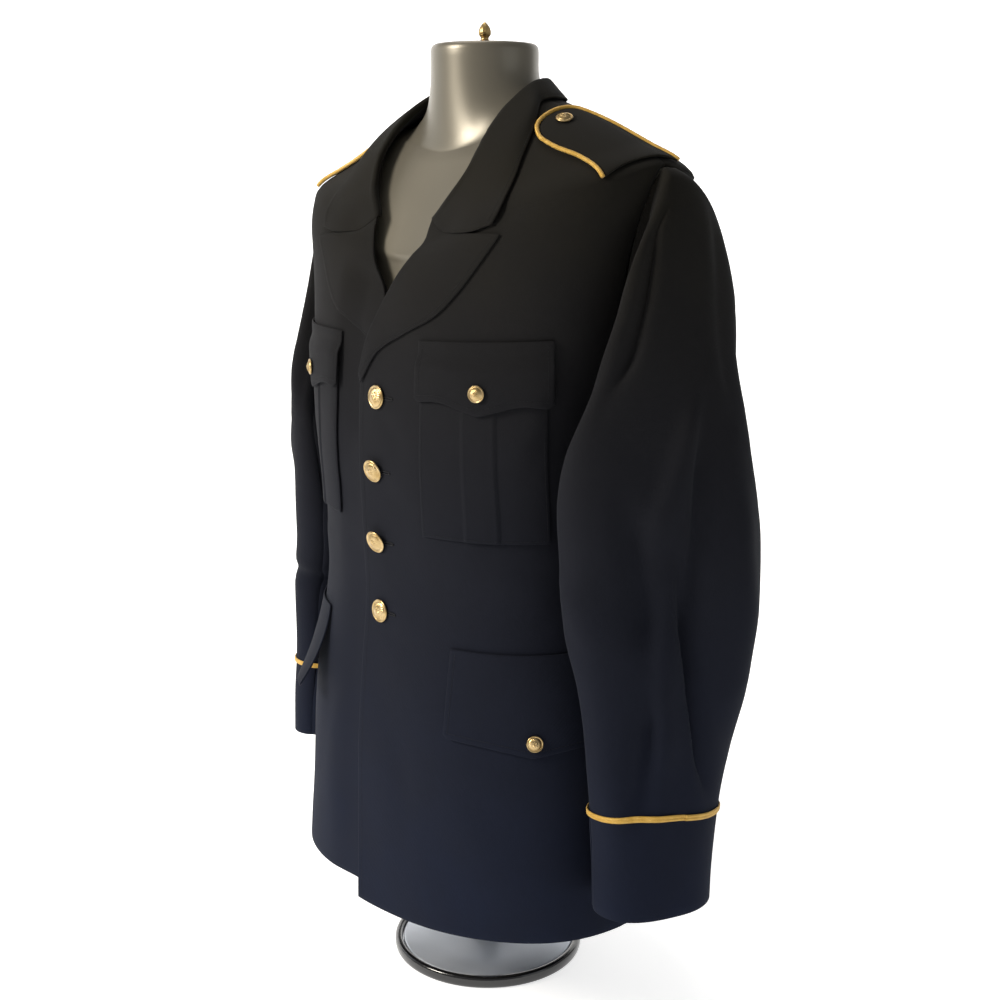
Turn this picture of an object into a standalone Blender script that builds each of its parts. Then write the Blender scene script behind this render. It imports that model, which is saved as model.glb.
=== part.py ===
# A dress uniform jacket hung on a limbless torso form with a round base.
# Lengths in the tables are millimetres; +Z is up, the front faces -Y, the wearer's left is +X.
import bpy
import math
from mathutils import Vector

METRES = 0.001
WALL = 1.8            # cloth with its backing
SEAM = 0.55          # gap at mid wall between neighbouring panels; their leaning edges leave about 0.3
OVERLAY_GAP = 0.95   # clear height of what lies on a panel over the panel
BUTTON_GAP = 0.5
UP = Vector((0.0, 0.0, 1.0))


class Table:
    # Rows of named columns, read at any place between the first and last key.
    def __init__(self, columns, rows):
        self.keys = [row[0] for row in rows]
        self.values = {name: [row[i] for row in rows] for i, name in enumerate(columns)}

    def slope(self, column, i):
        keys = self.keys
        if i == 0:
            return (column[1] - column[0]) / (keys[1] - keys[0])
        if i == len(keys) - 1:
            return (column[i] - column[i - 1]) / (keys[i] - keys[i - 1])
        before = (column[i] - column[i - 1]) / (keys[i] - keys[i - 1])
        after = (column[i + 1] - column[i]) / (keys[i + 1] - keys[i])
        if before * after <= 0:
            return 0.0
        return 2 * before * after / (before + after)

    def at(self, name, place):
        keys = self.keys
        column = self.values[name]
        place = min(max(place, keys[0]), keys[-1])
        i = 0
        while i < len(keys) - 2 and place > keys[i + 1]:
            i += 1
        span = keys[i + 1] - keys[i]
        t = (place - keys[i]) / span
        start = (2 * t**3 - 3 * t**2 + 1) * column[i] + (t**3 - 2 * t**2 + t) * span * self.slope(column, i)
        end = (3 * t**2 - 2 * t**3) * column[i + 1] + (t**3 - t**2) * span * self.slope(column, i + 1)
        return start + end


# The jacket body as level rings: level is the height at the side of the ring.
BODY = Table(
    ("level", "z_front", "z_back", "half_width", "y_mid", "y_front", "y_back", "square"),
    ((112, 104, 122, 218, 4, -154, 166, 2.5),
     (250, 248, 251, 206, 3, -151, 150, 2.5),
     (340, 340, 340, 197, 2, -145, 137, 2.45),
     (430, 430, 430, 180, 0, -139, 121, 2.4),
     (500, 500, 500, 178, 0, -141, 121, 2.4),
     (560, 560, 560, 186, 0, -143, 128, 2.4),
     (620, 619, 620, 194, 0, -141, 136, 2.4),
     (670, 663, 668, 201, 2, -137, 141, 2.45),
     (720, 695, 707, 208, 4, -131, 144, 2.5),
     (770, 724, 745, 216, 6, -123, 144, 2.6),
     (810, 745, 775, 225, 8, -115, 140, 2.7),
     (830, 757, 794, 229, 8, -109, 133, 2.7),
     (847, 788, 821, 193, 8, -94, 117, 2.5),
     (867, 822, 851, 148, 8, -77, 98, 2.3),
     (884, 854, 877, 101, 8, -63, 74, 2.1),
     (894, 875, 893, 71, 8, -55, 58, 2.0)))
RIGHT_SHOULDER_DROP = 11.0
RING_DIP = 1.3        # how the height changes from the side of a ring to its front and back
HEM_LEVEL = 112
HEM_LEFT = -9.0
HEM_RIGHT = 12.0
ARM_LEVEL = 655       # where the side seams reach the armhole
SHOULDER_LEVEL = 830
NECK_LEVEL = 894

# The armhole is an egg in angle and level, about the side of the body at 90 degrees.
ARMHOLE_MIDDLE = 0.36
ARMHOLE_DROP = 0.50
ARMHOLE_FRONT = 6.5
ARMHOLE_BACK = 19.5

# Inner edge of a front: straight down the closing, then the roll line, then the neck seam.
FRONT_EDGE = Table(
    ("level", "angle"),
    ((112, -9.5), (600, -9.8), (634, -9.5), (680, -4.4), (746, 3.6), (785, 10), (815, 16.2), (834, 22.0),
     (844.5, 27), (856, 37), (868, 47.5), (882, 62), (890, 74), (894, 83)))
# The right front lies under the left one; deeper where its lapel is between them.
UNDERLAP = Table(("level", "sink"), ((112, 3.0), (564, 3.0), (608, 7.8), (755, 7.8), (800, 0.5), (830, 0)))
UNDERLAP_FULL_TO = 13.0
UNDERLAP_GONE_AT = 30.0

# Lapel: the roll line and the outer edge, each as an angle and a level on the body.
LAPEL = Table(
    ("step", "roll_angle", "roll_level", "edge_angle", "edge_level"),
    ((0, -9.2, 638, -8.2, 630), (0.14, -6.4, 664, 2, 666), (0.34, -2.0, 704, 17.5, 693),
     (0.54, 2.8, 742, 30, 715), (0.72, 8.2, 778, 37.5, 740), (0.88, 14.8, 812, 45, 773),
     (1.0, 22.0, 840, 51, 804)))
LAPEL_OVERHANG = 0.5      # degrees that the lapel stands past the front's edge
NOTCH_PLACE = 0.6
NOTCH_DIP = -1.0

# Collar, left half: neck seam and outer edge on the body, the fold line in space.
COLLAR = Table(
    ("step", "seam_angle", "seam_level", "fold_x", "fold_y", "fold_z", "fall_angle", "fall_level", "fall_lift",
     "edge_angle", "edge_level"),
    ((0, 27.0, 844.5, 46, -103, 791, 39.5, 822, 2.6, 48.7, 819),
     (0.5, 37, 856, 62, -90, 814, 44.5, 844, 4, 52, 834),
     (1, 47.5, 868, 71, -70, 846, 53, 857, 6, 56, 845),
     (1.6, 62, 882, 69, -34, 883, 64, 875, 8, 62, 863),
     (2.2, 83, 894, 60, 7, 906, 85, 892, 6, 82, 889),
     (2.9, 117, 894, 43, 36, 910, 120, 893, 6, 122, 890),
     (3.6, 152, 894, 20, 54, 911, 155, 893, 6.5, 155, 888),
     (4.0, 180, 894, 0, 58, 911, 180, 893, 6.5, 180, 887)))
COLLAR_SEAM = 1.7     # from the panels' neck edge to the start of the stand
FOLD_RADIUS = 2.6
COLLAR_EDGE_CLEAR = 0.7

# Sleeve rings below the armhole: the outermost and innermost points and the depth to front and back.
SLEEVE = Table(
    ("stage", "x_out", "z_out", "x_in", "z_in", "y_mid", "front_depth", "back_depth", "square", "yaw"),
    ((0, 229, 830, 207, 634, 6, 16, 72, 2.0, 0),
     (1, 240, 822, 214, 628, 4, 26, 78, 2.0, 4),
     (2, 249, 795, 213, 614, 0, 40, 82, 2.05, 10),
     (3, 256, 750, 210, 594, -3, 48, 84, 2.1, 16),
     (4, 262, 692, 205, 568, -5, 63, 85, 2.15, 21),
     (5, 269, 632, 201, 540, -4, 84, 88, 2.2, 26),
     (6, 276, 565, 198, 505, -1, 91, 91, 2.2, 28),
     (7, 281, 500, 195, 462, 3, 92, 92, 2.2, 28),
     (8, 284, 435, 198, 415, 3, 90, 90, 2.2, 26),
     (9, 285, 370, 209, 362, -1, 82, 82, 2.2, 18),
     (10, 286, 310, 215, 306, -7, 73, 73, 2.2, 14),
     (11, 289, 245, 216, 245, -13, 64, 64, 2.2, 11),
     (12, 292, 184, 218, 188, -18, 59, 59, 2.2, 9),
     (12.3, 293, 162, 219, 166, -19, 58, 58, 2.2, 9)))
RIGHT_SLEEVE_BACK = 3.0   # the right sleeve hangs this much further back at the cuff
RIGHT_SLEEVE_FULL = 11.0  # and is this much fuller in front at the upper arm
SLEEVE_STAGES = (0.35, 1, 2, 3, 4, 5, 6.2, 7.5, 8.8, 10, 11, 12.3)
LEFT_CUFF_RISE = {"rise": -9.0, "from": 11.0, "to": 12.3}
RIGHT_CUFF_RISE = {"rise": 25.0, "from": 7.0, "to": 10.5}
SLEEVE_SEAM = 1.5         # clear width between the two sleeve pieces
SLEEVE_SEAM_FRONT = 6     # columns of the armhole loop where the two sleeve pieces meet
SLEEVE_SEAM_BACK = 14
SLEEVE_START_LIFT = 0.3
BRAID_STAGE = 11.0
BRAID_WIDTH = 4.6
BRAID_THICK = 1.5
BRAID_DIP = 6.0
BRAID_GAP = 1.0
LAPEL_ROLL = 1.2
COLLAR_STEPS = 13

POCKET = {"top": 640.0, "bottom": 492.0, "start": 66.0, "end": 190.0, "pleat_rise": 1.2}
BREAST_FLAP = {"top": 682.0, "depth": 62.0, "point": 9.0, "scallop": 6.0, "start": 62.0, "end": 195.0,
               "button_level": 632.0}
BREAST_FLAP_REST = OVERLAY_GAP * 2 + WALL + POCKET["pleat_rise"]
HIP_FLAP = {"top": 386.0, "depth": 84.0, "point": 10.0, "start": 98.0, "end": 276.0, "flare_left": 1.5,
            "flare_right": 27.4, "button_level": 306.0}

ROWS_BODY = 11            # rows of a panel from the hem to the armhole
ROWS_ARMHOLE = 7
ROWS_SHOULDER = 5
COLUMNS_FRONT = 15
COLUMNS_BACK = 9
COLUMNS_SIDE = 6

FRONT_BUTTONS = (("front_button_1", 617, 2.0, 0), ("front_button_2", 545, 0.3, 14),
                 ("front_button_3", 475, 0.3, 16), ("front_button_4", 405, 0.8, 2))
BUTTON_LARGE = 11.5
BUTTON_SMALL = 8.0
BUTTON_LEAN = Vector((0.35, 0.0, -0.94))
# Share of the radius and height, from the top of the dome down to the back.
BUTTON_PROFILE = ((0.0, 4.3), (0.32, 4.0), (0.62, 3.0), (0.80, 1.9), (0.93, 2.0), (1.0, 1.3), (0.96, 0.4),
                  (0.55, 0.0), (0.0, 0.0))
PIPING_RADIUS = 1.7
STRAP_ROWS = (112, 115, 121, 131, 147, 163, 179, 192, 203, 211)
STRAP_BUTTON = (128, -18)
PLATE_PROFILE = ((0, 311.6), (12, 311.6), (12, 26), (13, 20), (17, 14), (22, 11), (90, 10.5), (92.4, 9),
                 (92.4, 4), (90, 3), (0, 3))
RIM_PROFILE = ((95.0, 12.6), (99.0, 12.6), (101.5, 9.0), (101.5, 3.0), (99.5, 0.0), (94.5, 0.0), (93.0, 1.0),
               (93.0, 10.0))
FINIAL_PROFILE = ((0, 20.0), (1.0, 20.0), (2.6, 18.0), (5.0, 14.5), (6.0, 10.5), (5.6, 8.0), (3.6, 5.5),
                  (4.2, 3.2), (7.5, 2.4), (7.5, 0.3), (4.0, 0), (0, 0))

MATERIALS = {
    "wool": ((0.018, 0.019, 0.024, 1), 0.0, 0.92),
    "gold_braid": ((0.72, 0.45, 0.11, 1), 0.0, 0.6),
    "gilt": ((0.80, 0.66, 0.36, 1), 1.0, 0.28),
    "form_shell": ((0.36, 0.34, 0.31, 1), 0.0, 0.38),
    "plate": ((0.40, 0.40, 0.41, 1), 1.0, 0.35),
    "black_gloss": ((0.01, 0.01, 0.011, 1), 0.0, 0.12),
    "aged_brass": ((0.66, 0.50, 0.25, 1), 1.0, 0.35)}


def clear_scene():
    for item in list(bpy.data.objects):
        bpy.data.objects.remove(item, do_unlink=True)


def make_materials():
    made = {}
    for name, (colour, metallic, roughness) in MATERIALS.items():
        material = bpy.data.materials.new(name)
        material.use_nodes = True
        shader = material.node_tree.nodes["Principled BSDF"]
        shader.inputs["Base Color"].default_value = colour
        shader.inputs["Metallic"].default_value = metallic
        shader.inputs["Roughness"].default_value = roughness
        made[name] = material
    return made


def make_collection():
    collection = bpy.data.collections.new("dress_uniform_jacket")
    bpy.context.scene.collection.children.link(collection)
    return collection


def smooth(low, high, value):
    t = min(max((value - low) / (high - low), 0.0), 1.0)
    return t * t * (3 - 2 * t)


def lower_right(point):
    # The right shoulder sits a little lower than the left one.
    drop = RIGHT_SHOULDER_DROP * smooth(30, 170, -point.x) * smooth(620, 790, point.z)
    return point - UP * drop


def mirror(point, side):
    return point if side > 0 else lower_right(Vector((-point.x, point.y, point.z)))


def mirror_direction(direction, side):
    return Vector((direction.x * side, direction.y, direction.z))


def body_point(angle, level):
    turn = math.radians(angle)
    across = math.sin(turn)
    ahead = math.cos(turn)
    y_mid = BODY.at("y_mid", level)
    if ahead > 0:
        depth = y_mid - BODY.at("y_front", level)
        z_end = BODY.at("z_front", level)
    else:
        depth = BODY.at("y_back", level) - y_mid
        z_end = BODY.at("z_back", level)
    square = BODY.at("square", level)
    width = BODY.at("half_width", level)
    reach = ((abs(across) / width) ** square + (abs(ahead) / depth) ** square) ** (-1 / square)
    height = level + (z_end - level) * abs(ahead) ** RING_DIP
    return Vector((reach * across, y_mid - reach * ahead, height))


def body_normal(angle, level):
    along = body_point(angle + 0.4, level) - body_point(angle - 0.4, level)
    low = max(level - 1.5, HEM_LEVEL)
    high = min(level + 1.5, NECK_LEVEL)
    rise = body_point(angle, high) - body_point(angle, low)
    return along.cross(rise).normalized()


def on_body(angle, level, lift=0.0):
    return body_point(angle, level) + body_normal(angle, level) * lift


def hem_shift(angle, level, side):
    # The left front hangs a little lower at its edge and the right one a little higher.
    shift = HEM_LEFT if side > 0 else HEM_RIGHT
    return UP * shift * (1 - smooth(-10, 60, angle)) * (1 - smooth(HEM_LEVEL, 290, level))


def angle_step(angle, level, distance):
    # The change of angle that moves a point this far round the body.
    reach = (body_point(angle + 0.5, level) - body_point(angle - 0.5, level)).length
    return distance / reach


def girth_angle(level, distance):
    # The angle at this distance round the body from the centre front.
    angle = 0.0
    left = distance
    step = 1.0
    while left > 0:
        piece = (body_point(angle + step, level) - body_point(angle, level)).length
        if piece > left:
            return angle + step * left / piece
        left -= piece
        angle += step
    return angle


def sink_right(angle, level):
    return UNDERLAP.at("sink", level) * (1 - smooth(UNDERLAP_FULL_TO, UNDERLAP_GONE_AT, angle))


def top_place(x, y):
    # The angle and level of the shoulder surface straight under a point seen from above.
    back = BODY.at("y_mid", SHOULDER_LEVEL) - y
    angle = math.degrees(math.atan2(x, back))
    reach = math.hypot(x, back)
    low = float(SHOULDER_LEVEL)
    high = float(NECK_LEVEL)
    for _ in range(30):
        middle = (low + high) / 2
        point = body_point(angle, middle)
        if math.hypot(point.x, point.y - BODY.at("y_mid", middle)) > reach:
            low = middle
        else:
            high = middle
    return angle, (low + high) / 2


def armhole_angle(level, front):
    place = (level - ARM_LEVEL) / (SHOULDER_LEVEL - ARM_LEVEL)
    widest = ARMHOLE_FRONT if front else ARMHOLE_BACK
    if place >= ARMHOLE_MIDDLE:
        off = (place - ARMHOLE_MIDDLE) / (1 - ARMHOLE_MIDDLE)
    else:
        off = (ARMHOLE_MIDDLE - place) / ARMHOLE_DROP
    spread = widest * math.sqrt(max(0.0, 1 - off * off))
    return 90 - spread if front else 90 + spread


def armhole_bottom(angle):
    widest = ARMHOLE_FRONT if angle < 90 else ARMHOLE_BACK
    off = (angle - 90) / widest
    place = ARMHOLE_MIDDLE - ARMHOLE_DROP * math.sqrt(max(0.0, 1 - off * off))
    return ARM_LEVEL + place * (SHOULDER_LEVEL - ARM_LEVEL)


SIDE_FRONT = armhole_angle(ARM_LEVEL, True)
SIDE_BACK = armhole_angle(ARM_LEVEL, False)


def panel_levels():
    # Rows shared by every panel, so that seams match: hem to armhole, armhole, shoulder.
    levels = [HEM_LEVEL + (ARM_LEVEL - HEM_LEVEL) * i / ROWS_BODY for i in range(ROWS_BODY + 1)]
    for i in range(1, ROWS_ARMHOLE + 1):
        t = i / ROWS_ARMHOLE
        eased = math.sin(t * math.pi / 2) * 0.5 + t * 0.5
        levels.append(ARM_LEVEL + (SHOULDER_LEVEL - ARM_LEVEL) * eased)
    for i in range(1, ROWS_SHOULDER + 1):
        levels.append(SHOULDER_LEVEL + (NECK_LEVEL - SHOULDER_LEVEL) * i / ROWS_SHOULDER)
    return levels


LEVELS = panel_levels()


def link(name, data, material, collection):
    data.materials.append(material)
    item = bpy.data.objects.new(name, data)
    collection.objects.link(item)
    return item


def add_sheet(name, grid, wall, offset, material, collection, flip=False, closed=False):
    # Cloth: an open surface from a grid of points, thickened by Solidify.
    rows = len(grid)
    columns = len(grid[0])
    faces = []
    for i in range(rows - 1):
        for j in range(columns if closed else columns - 1):
            k = (j + 1) % columns
            face = (i * columns + j, i * columns + k, (i + 1) * columns + k, (i + 1) * columns + j)
            faces.append(face[::-1] if flip else face)
    mesh = bpy.data.meshes.new(name)
    mesh.from_pydata([tuple(p * METRES) for row in grid for p in row], [], faces)
    mesh.shade_smooth()
    item = link(name, mesh, material, collection)
    solidify = item.modifiers.new("wall", "SOLIDIFY")
    solidify.thickness = wall * METRES
    solidify.offset = offset
    return item


def add_loft(name, rings, material, collection):
    # A closed form lofted through unlike rings, with a flat face at each end.
    columns = len(rings[0])
    faces = [tuple(reversed(range(columns)))]
    for i in range(len(rings) - 1):
        for j in range(columns):
            k = (j + 1) % columns
            faces.append((i * columns + j, i * columns + k, (i + 1) * columns + k, (i + 1) * columns + j))
    last = (len(rings) - 1) * columns
    faces.append(tuple(range(last, last + columns)))
    mesh = bpy.data.meshes.new(name)
    mesh.from_pydata([tuple(p * METRES) for ring in rings for p in ring], [], faces)
    mesh.shade_smooth()
    return link(name, mesh, material, collection)


def add_turned(name, profile, segments, place, axis, material, collection, ring=False):
    # A turned form: the profile runs down the outer side, from the top; a ring's profile is closed.
    mesh = bpy.data.meshes.new(name)
    count = len(profile)
    edges = [(i, i + 1) for i in range(count - 1)]
    if ring:
        edges.append((count - 1, 0))
    mesh.from_pydata([(radius * METRES, 0.0, height * METRES) for radius, height in profile], edges, [])
    item = link(name, mesh, material, collection)
    item.location = place * METRES
    item.rotation_euler = axis.to_track_quat("Z", "Y").to_euler()
    screw = item.modifiers.new("turn", "SCREW")
    screw.steps = segments
    screw.render_steps = segments
    screw.use_merge_vertices = True
    screw.merge_threshold = 0.00001
    screw.use_smooth_shade = True
    return item


def add_cord(name, path, radius, material, collection):
    curve = bpy.data.curves.new(name, "CURVE")
    curve.dimensions = "3D"
    curve.bevel_depth = radius * METRES
    curve.bevel_resolution = 1
    curve.use_fill_caps = True
    spline = curve.splines.new("POLY")
    spline.points.add(len(path) - 1)
    for point, spot in zip(spline.points, path):
        point.co = (spot.x * METRES, spot.y * METRES, spot.z * METRES, 1.0)
    item = link(name, curve, material, collection)
    weld = item.modifiers.new("caps", "WELD")
    weld.merge_threshold = 0.00001
    return item


def laid_point(angle, level, lift, side):
    # A point of a wall's middle face: lift is the clear height of its inner face over the panels' outer face.
    shift = sink_right(angle, level) if side < 0 else 0.0
    return mirror(on_body(angle, level, lift + WALL / 2 - shift) + hem_shift(angle, level, side), side)


def laid_grid(rows, columns, place, lift, side):
    # Points over the body: place gives angle and level, lift the height, for two numbers from 0 to 1.
    return [[laid_point(*place(i / rows, j / columns), lift(i / rows, j / columns), side)
             for j in range(columns + 1)] for i in range(rows + 1)]


def front_outer_edge(level):
    if level <= ARM_LEVEL:
        return SIDE_FRONT
    if level < SHOULDER_LEVEL:
        return armhole_angle(level, True)
    return 90.0


def back_outer_edge(level):
    if level <= ARM_LEVEL:
        return SIDE_BACK
    if level < SHOULDER_LEVEL:
        return armhole_angle(level, False)
    return 90.0


def make_front(name, side, material, collection):
    grid = []
    for level in LEVELS:
        first = FRONT_EDGE.at("angle", level)
        last = front_outer_edge(level)
        last -= angle_step(last, level, SEAM / 2)
        angles = [first + (last - first) * j / COLUMNS_FRONT for j in range(COLUMNS_FRONT + 1)]
        grid.append([laid_point(angle, level, -WALL, side) for angle in angles])
    add_sheet(name, grid, WALL, 0, material, collection, flip=side < 0)


def make_back(name, side, material, collection):
    grid = []
    for level in LEVELS:
        first = back_outer_edge(level)
        first += angle_step(first, level, SEAM / 2)
        last = 180 - angle_step(180, level, SEAM / 2)
        angles = [first + (last - first) * j / COLUMNS_BACK for j in range(COLUMNS_BACK + 1)]
        grid.append([laid_point(angle, level, -WALL, side) for angle in angles])
    add_sheet(name, grid, WALL, 0, material, collection, flip=side < 0)


def make_side(name, side, material, collection):
    grid = []
    for i in range(ROWS_BODY + 1):
        row = []
        for j in range(COLUMNS_SIDE + 1):
            angle = SIDE_FRONT + (SIDE_BACK - SIDE_FRONT) * j / COLUMNS_SIDE
            level = HEM_LEVEL + (armhole_bottom(angle) - HEM_LEVEL) * i / ROWS_BODY
            if j == 0:
                angle += angle_step(angle, level, SEAM / 2)
            if j == COLUMNS_SIDE:
                angle -= angle_step(angle, level, SEAM / 2)
            row.append(laid_point(angle, level, -WALL, side))
        grid.append(row)
    add_sheet(name, grid, WALL, 0, material, collection, flip=side < 0)


def armhole_loop():
    # Angle and level round the armhole: from the shoulder down the front, under the arm, up the back.
    loop = []
    arm_levels = [level for level in LEVELS if ARM_LEVEL <= level <= SHOULDER_LEVEL]
    for level in reversed(arm_levels):
        loop.append((armhole_angle(level, True), level))
    for j in range(1, COLUMNS_SIDE):
        angle = SIDE_FRONT + (SIDE_BACK - SIDE_FRONT) * j / COLUMNS_SIDE
        loop.append((angle, armhole_bottom(angle)))
    for level in arm_levels[:-1]:
        loop.append((armhole_angle(level, False), level))
    return loop


LOOP = armhole_loop()


def loop_turns():
    # Turn of each loop point about the middle of the armhole, 0 at the top, rising to the front.
    centre = (body_point(90, SHOULDER_LEVEL) + body_point(90, armhole_bottom(90))) / 2
    turns = []
    for angle, level in LOOP:
        point = body_point(angle, level)
        turn = math.degrees(math.atan2(-(point.y - centre.y), point.z - centre.z))
        turns.append(turn % 360)
    turns[0] = 0.0
    return turns


TURNS = loop_turns()


def sleeve_point(column, stage, lift, side):
    # A point of the sleeve's outer face, or that far out from it.
    spread = 360.0 * column / len(LOOP)
    mix = smooth(0, 6, stage)
    turn = math.radians(TURNS[column % len(LOOP)] * (1 - mix) + spread * mix)
    out_point = Vector((SLEEVE.at("x_out", stage), 0, SLEEVE.at("z_out", stage)))
    in_point = Vector((SLEEVE.at("x_in", stage), 0, SLEEVE.at("z_in", stage)))
    middle = (out_point + in_point) / 2
    middle.y = SLEEVE.at("y_mid", stage)
    if side < 0:
        middle.y += RIGHT_SLEEVE_BACK * smooth(3, 11, stage)
    cuff = RIGHT_CUFF_RISE if side < 0 else LEFT_CUFF_RISE
    middle.z += cuff["rise"] * smooth(cuff["from"], cuff["to"], stage)
    half = (out_point - in_point) / 2
    reach = half.length + lift
    square = SLEEVE.at("square", stage)
    up = math.cos(turn)
    fore = math.sin(turn)
    depth = SLEEVE.at("front_depth" if fore > 0 else "back_depth", stage) + lift
    if side < 0 and fore > 0:
        depth += RIGHT_SLEEVE_FULL * smooth(0.6, 2.4, stage) * (1 - smooth(4, 6, stage))
    radius = ((abs(up) / reach) ** square + (abs(fore) / depth) ** square) ** (-1 / square)
    lean = Vector((-SLEEVE.at("yaw", stage) * fore, 0.0, 0.0))
    return middle + half.normalized() * up * radius + Vector((0.0, -1.0, 0.0)) * fore * radius + lean


def armhole_start(column):
    # The sleeve starts on the armhole edge, one seam gap inside it.
    angle, level = LOOP[column]
    point = body_point(angle, level)
    centre = (body_point(90, SHOULDER_LEVEL) + body_point(90, armhole_bottom(90))) / 2
    inward = centre - point
    normal = body_normal(angle, level)
    inward = (inward - normal * inward.dot(normal)).normalized()
    return point + inward * (SEAM + WALL / 2) + normal * SLEEVE_START_LIFT


def sleeve_grid(columns, side):
    grid = []
    for row, stage in enumerate((0,) + SLEEVE_STAGES):
        points = [armhole_start(c) if row == 0 else sleeve_point(c, stage, -WALL / 2, side) for c in columns]
        for spot, other in ((0, 1), (-1, -2)):
            points[spot] = points[spot] + (points[other] - points[spot]).normalized() * (SLEEVE_SEAM / 2)
        grid.append([mirror(p, side) for p in points])
    return grid


def make_sleeve(side, mark, material, collection):
    count = len(LOOP)
    under = list(range(SLEEVE_SEAM_FRONT, SLEEVE_SEAM_BACK + 1))
    top = [c % count for c in range(SLEEVE_SEAM_BACK, count + SLEEVE_SEAM_FRONT + 1)]
    for name, columns in (("sleeve_top_", top), ("sleeve_under_", under)):
        add_sheet(name + mark, sleeve_grid(columns, side), WALL, 0, material, collection, flip=side < 0)


def make_cuff_braid(side, mark, material, collection):
    count = len(LOOP)
    grid = []
    for edge in (0.5, -0.5):
        row = []
        for column in range(count):
            turn = 2 * math.pi * column / count
            rise = BRAID_DIP * math.cos(turn - 1.2) + BRAID_WIDTH * edge
            row.append(mirror(sleeve_point(column, BRAID_STAGE - rise / 60, BRAID_GAP, side), side))
        grid.append(row)
    add_sheet("cuff_braid_" + mark, grid, BRAID_THICK, 1, material, collection, flip=side < 0, closed=True)


def make_lapel(side, mark, material, collection):
    def place(t, v):
        roll = LAPEL.at("roll_angle", t) - LAPEL_OVERHANG
        edge = LAPEL.at("edge_angle", t)
        low = LAPEL.at("roll_level", t)
        high = LAPEL.at("edge_level", t)
        bend = v / NOTCH_PLACE if v < NOTCH_PLACE else (1 - v) / (1 - NOTCH_PLACE)
        dip = NOTCH_DIP * smooth(0.75, 1, t) * bend
        return roll + (edge - roll) * v, low + (high - low) * v - dip

    def lift(t, v):
        return OVERLAY_GAP + LAPEL_ROLL * (1 - v) * smooth(0, 0.3, t)

    grid = laid_grid(12, 7, place, lift, side)
    add_sheet("lapel_" + mark, grid, WALL, 0, material, collection, flip=side < 0)


def collar_section(step):
    # Middle line of the folded collar at one step: the stand, the fold, the fall.
    seam_angle = COLLAR.at("seam_angle", step)
    seam_level = COLLAR.at("seam_level", step)
    edge_angle = COLLAR.at("edge_angle", step)
    edge_level = COLLAR.at("edge_level", step)
    fold = Vector((COLLAR.at("fold_x", step), COLLAR.at("fold_y", step), COLLAR.at("fold_z", step)))
    seam = on_body(seam_angle, seam_level, -WALL / 2)
    edge = on_body(edge_angle, edge_level, OVERLAY_GAP + COLLAR_EDGE_CLEAR + WALL / 2)
    fall = on_body(COLLAR.at("fall_angle", step), COLLAR.at("fall_level", step), COLLAR.at("fall_lift", step))
    inward = (fold - seam).normalized()
    seam = seam + inward * COLLAR_SEAM
    outward = fall - seam
    outward = (outward - inward * outward.dot(inward)).normalized()
    shoulder = fold + outward * FOLD_RADIUS * 2 - inward * FOLD_RADIUS
    crown = fold + outward * FOLD_RADIUS
    return [seam, (seam + fold) / 2, fold - inward * FOLD_RADIUS, crown, shoulder, fall, edge]


def make_collar(material, collection):
    steps = [4.0 * i / COLLAR_STEPS for i in range(COLLAR_STEPS + 1)]
    half = [collar_section(step) for step in steps]
    grid = half + [[mirror(p, -1) for p in row] for row in reversed(half[:-1])]
    add_sheet("collar", grid, WALL, 0, material, collection)


def make_breast_pocket(side, mark, material, collection):
    def place(t, v):
        level = POCKET["top"] + (POCKET["bottom"] - POCKET["top"]) * t
        return girth_angle(level, POCKET["start"] + (POCKET["end"] - POCKET["start"]) * v), level

    def lift(t, v):
        return OVERLAY_GAP + (POCKET["pleat_rise"] if abs(v - 0.5) < 0.13 else 0.0)

    grid = laid_grid(6, 10, place, lift, side)
    add_sheet("breast_pocket_" + mark, grid, WALL, 0, material, collection, flip=side > 0)


def make_breast_flap(side, mark, material, collection):
    def place(t, v):
        point = 1 - abs(v - 0.5) * 2
        scallop = math.sin(v * math.pi * 2) ** 2 * (1 - point)
        depth = BREAST_FLAP["depth"] + BREAST_FLAP["point"] * point ** 2 - BREAST_FLAP["scallop"] * scallop
        level = BREAST_FLAP["top"] - depth * t
        distance = BREAST_FLAP["start"] + (BREAST_FLAP["end"] - BREAST_FLAP["start"]) * v
        return girth_angle(level, distance), level

    def lift(t, v):
        return OVERLAY_GAP + (BREAST_FLAP_REST - OVERLAY_GAP) * smooth(0.2, 0.5, t)

    grid = laid_grid(6, 10, place, lift, side)
    add_sheet("breast_flap_" + mark, grid, WALL, 0, material, collection, flip=side > 0)


def hip_flap_lift(t, v, side):
    flare = HIP_FLAP["flare_right"] if side < 0 else HIP_FLAP["flare_left"]
    return OVERLAY_GAP + flare * t * t * (1 - v) ** 1.4


def make_hip_flap(side, mark, material, collection):
    def place(t, v):
        depth = HIP_FLAP["depth"] + HIP_FLAP["point"] * (1 - abs(v - 0.5) * 2) ** 2
        level = HIP_FLAP["top"] - depth * t
        distance = HIP_FLAP["start"] + (HIP_FLAP["end"] - HIP_FLAP["start"]) * v
        return girth_angle(level, distance), level

    grid = laid_grid(5, 12, place, lambda t, v: hip_flap_lift(t, v, side), side)
    add_sheet("hip_flap_" + mark, grid, WALL, 0, material, collection, flip=side > 0)


# Shoulder strap outline seen from above: front and rear edges along its length.
STRAP = Table(
    ("x", "y_front", "y_rear"),
    ((112, -25, -12), (115, -34, 0), (121, -40, 8), (131, -44, 12), (150, -45, 16), (176, -43, 20),
     (188, -44, 23), (202, -47, 26), (211, -50, 28)))


def strap_point(x, y, lift, side):
    angle, level = top_place(x, y)
    return mirror(on_body(angle, level, lift), side)


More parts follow.
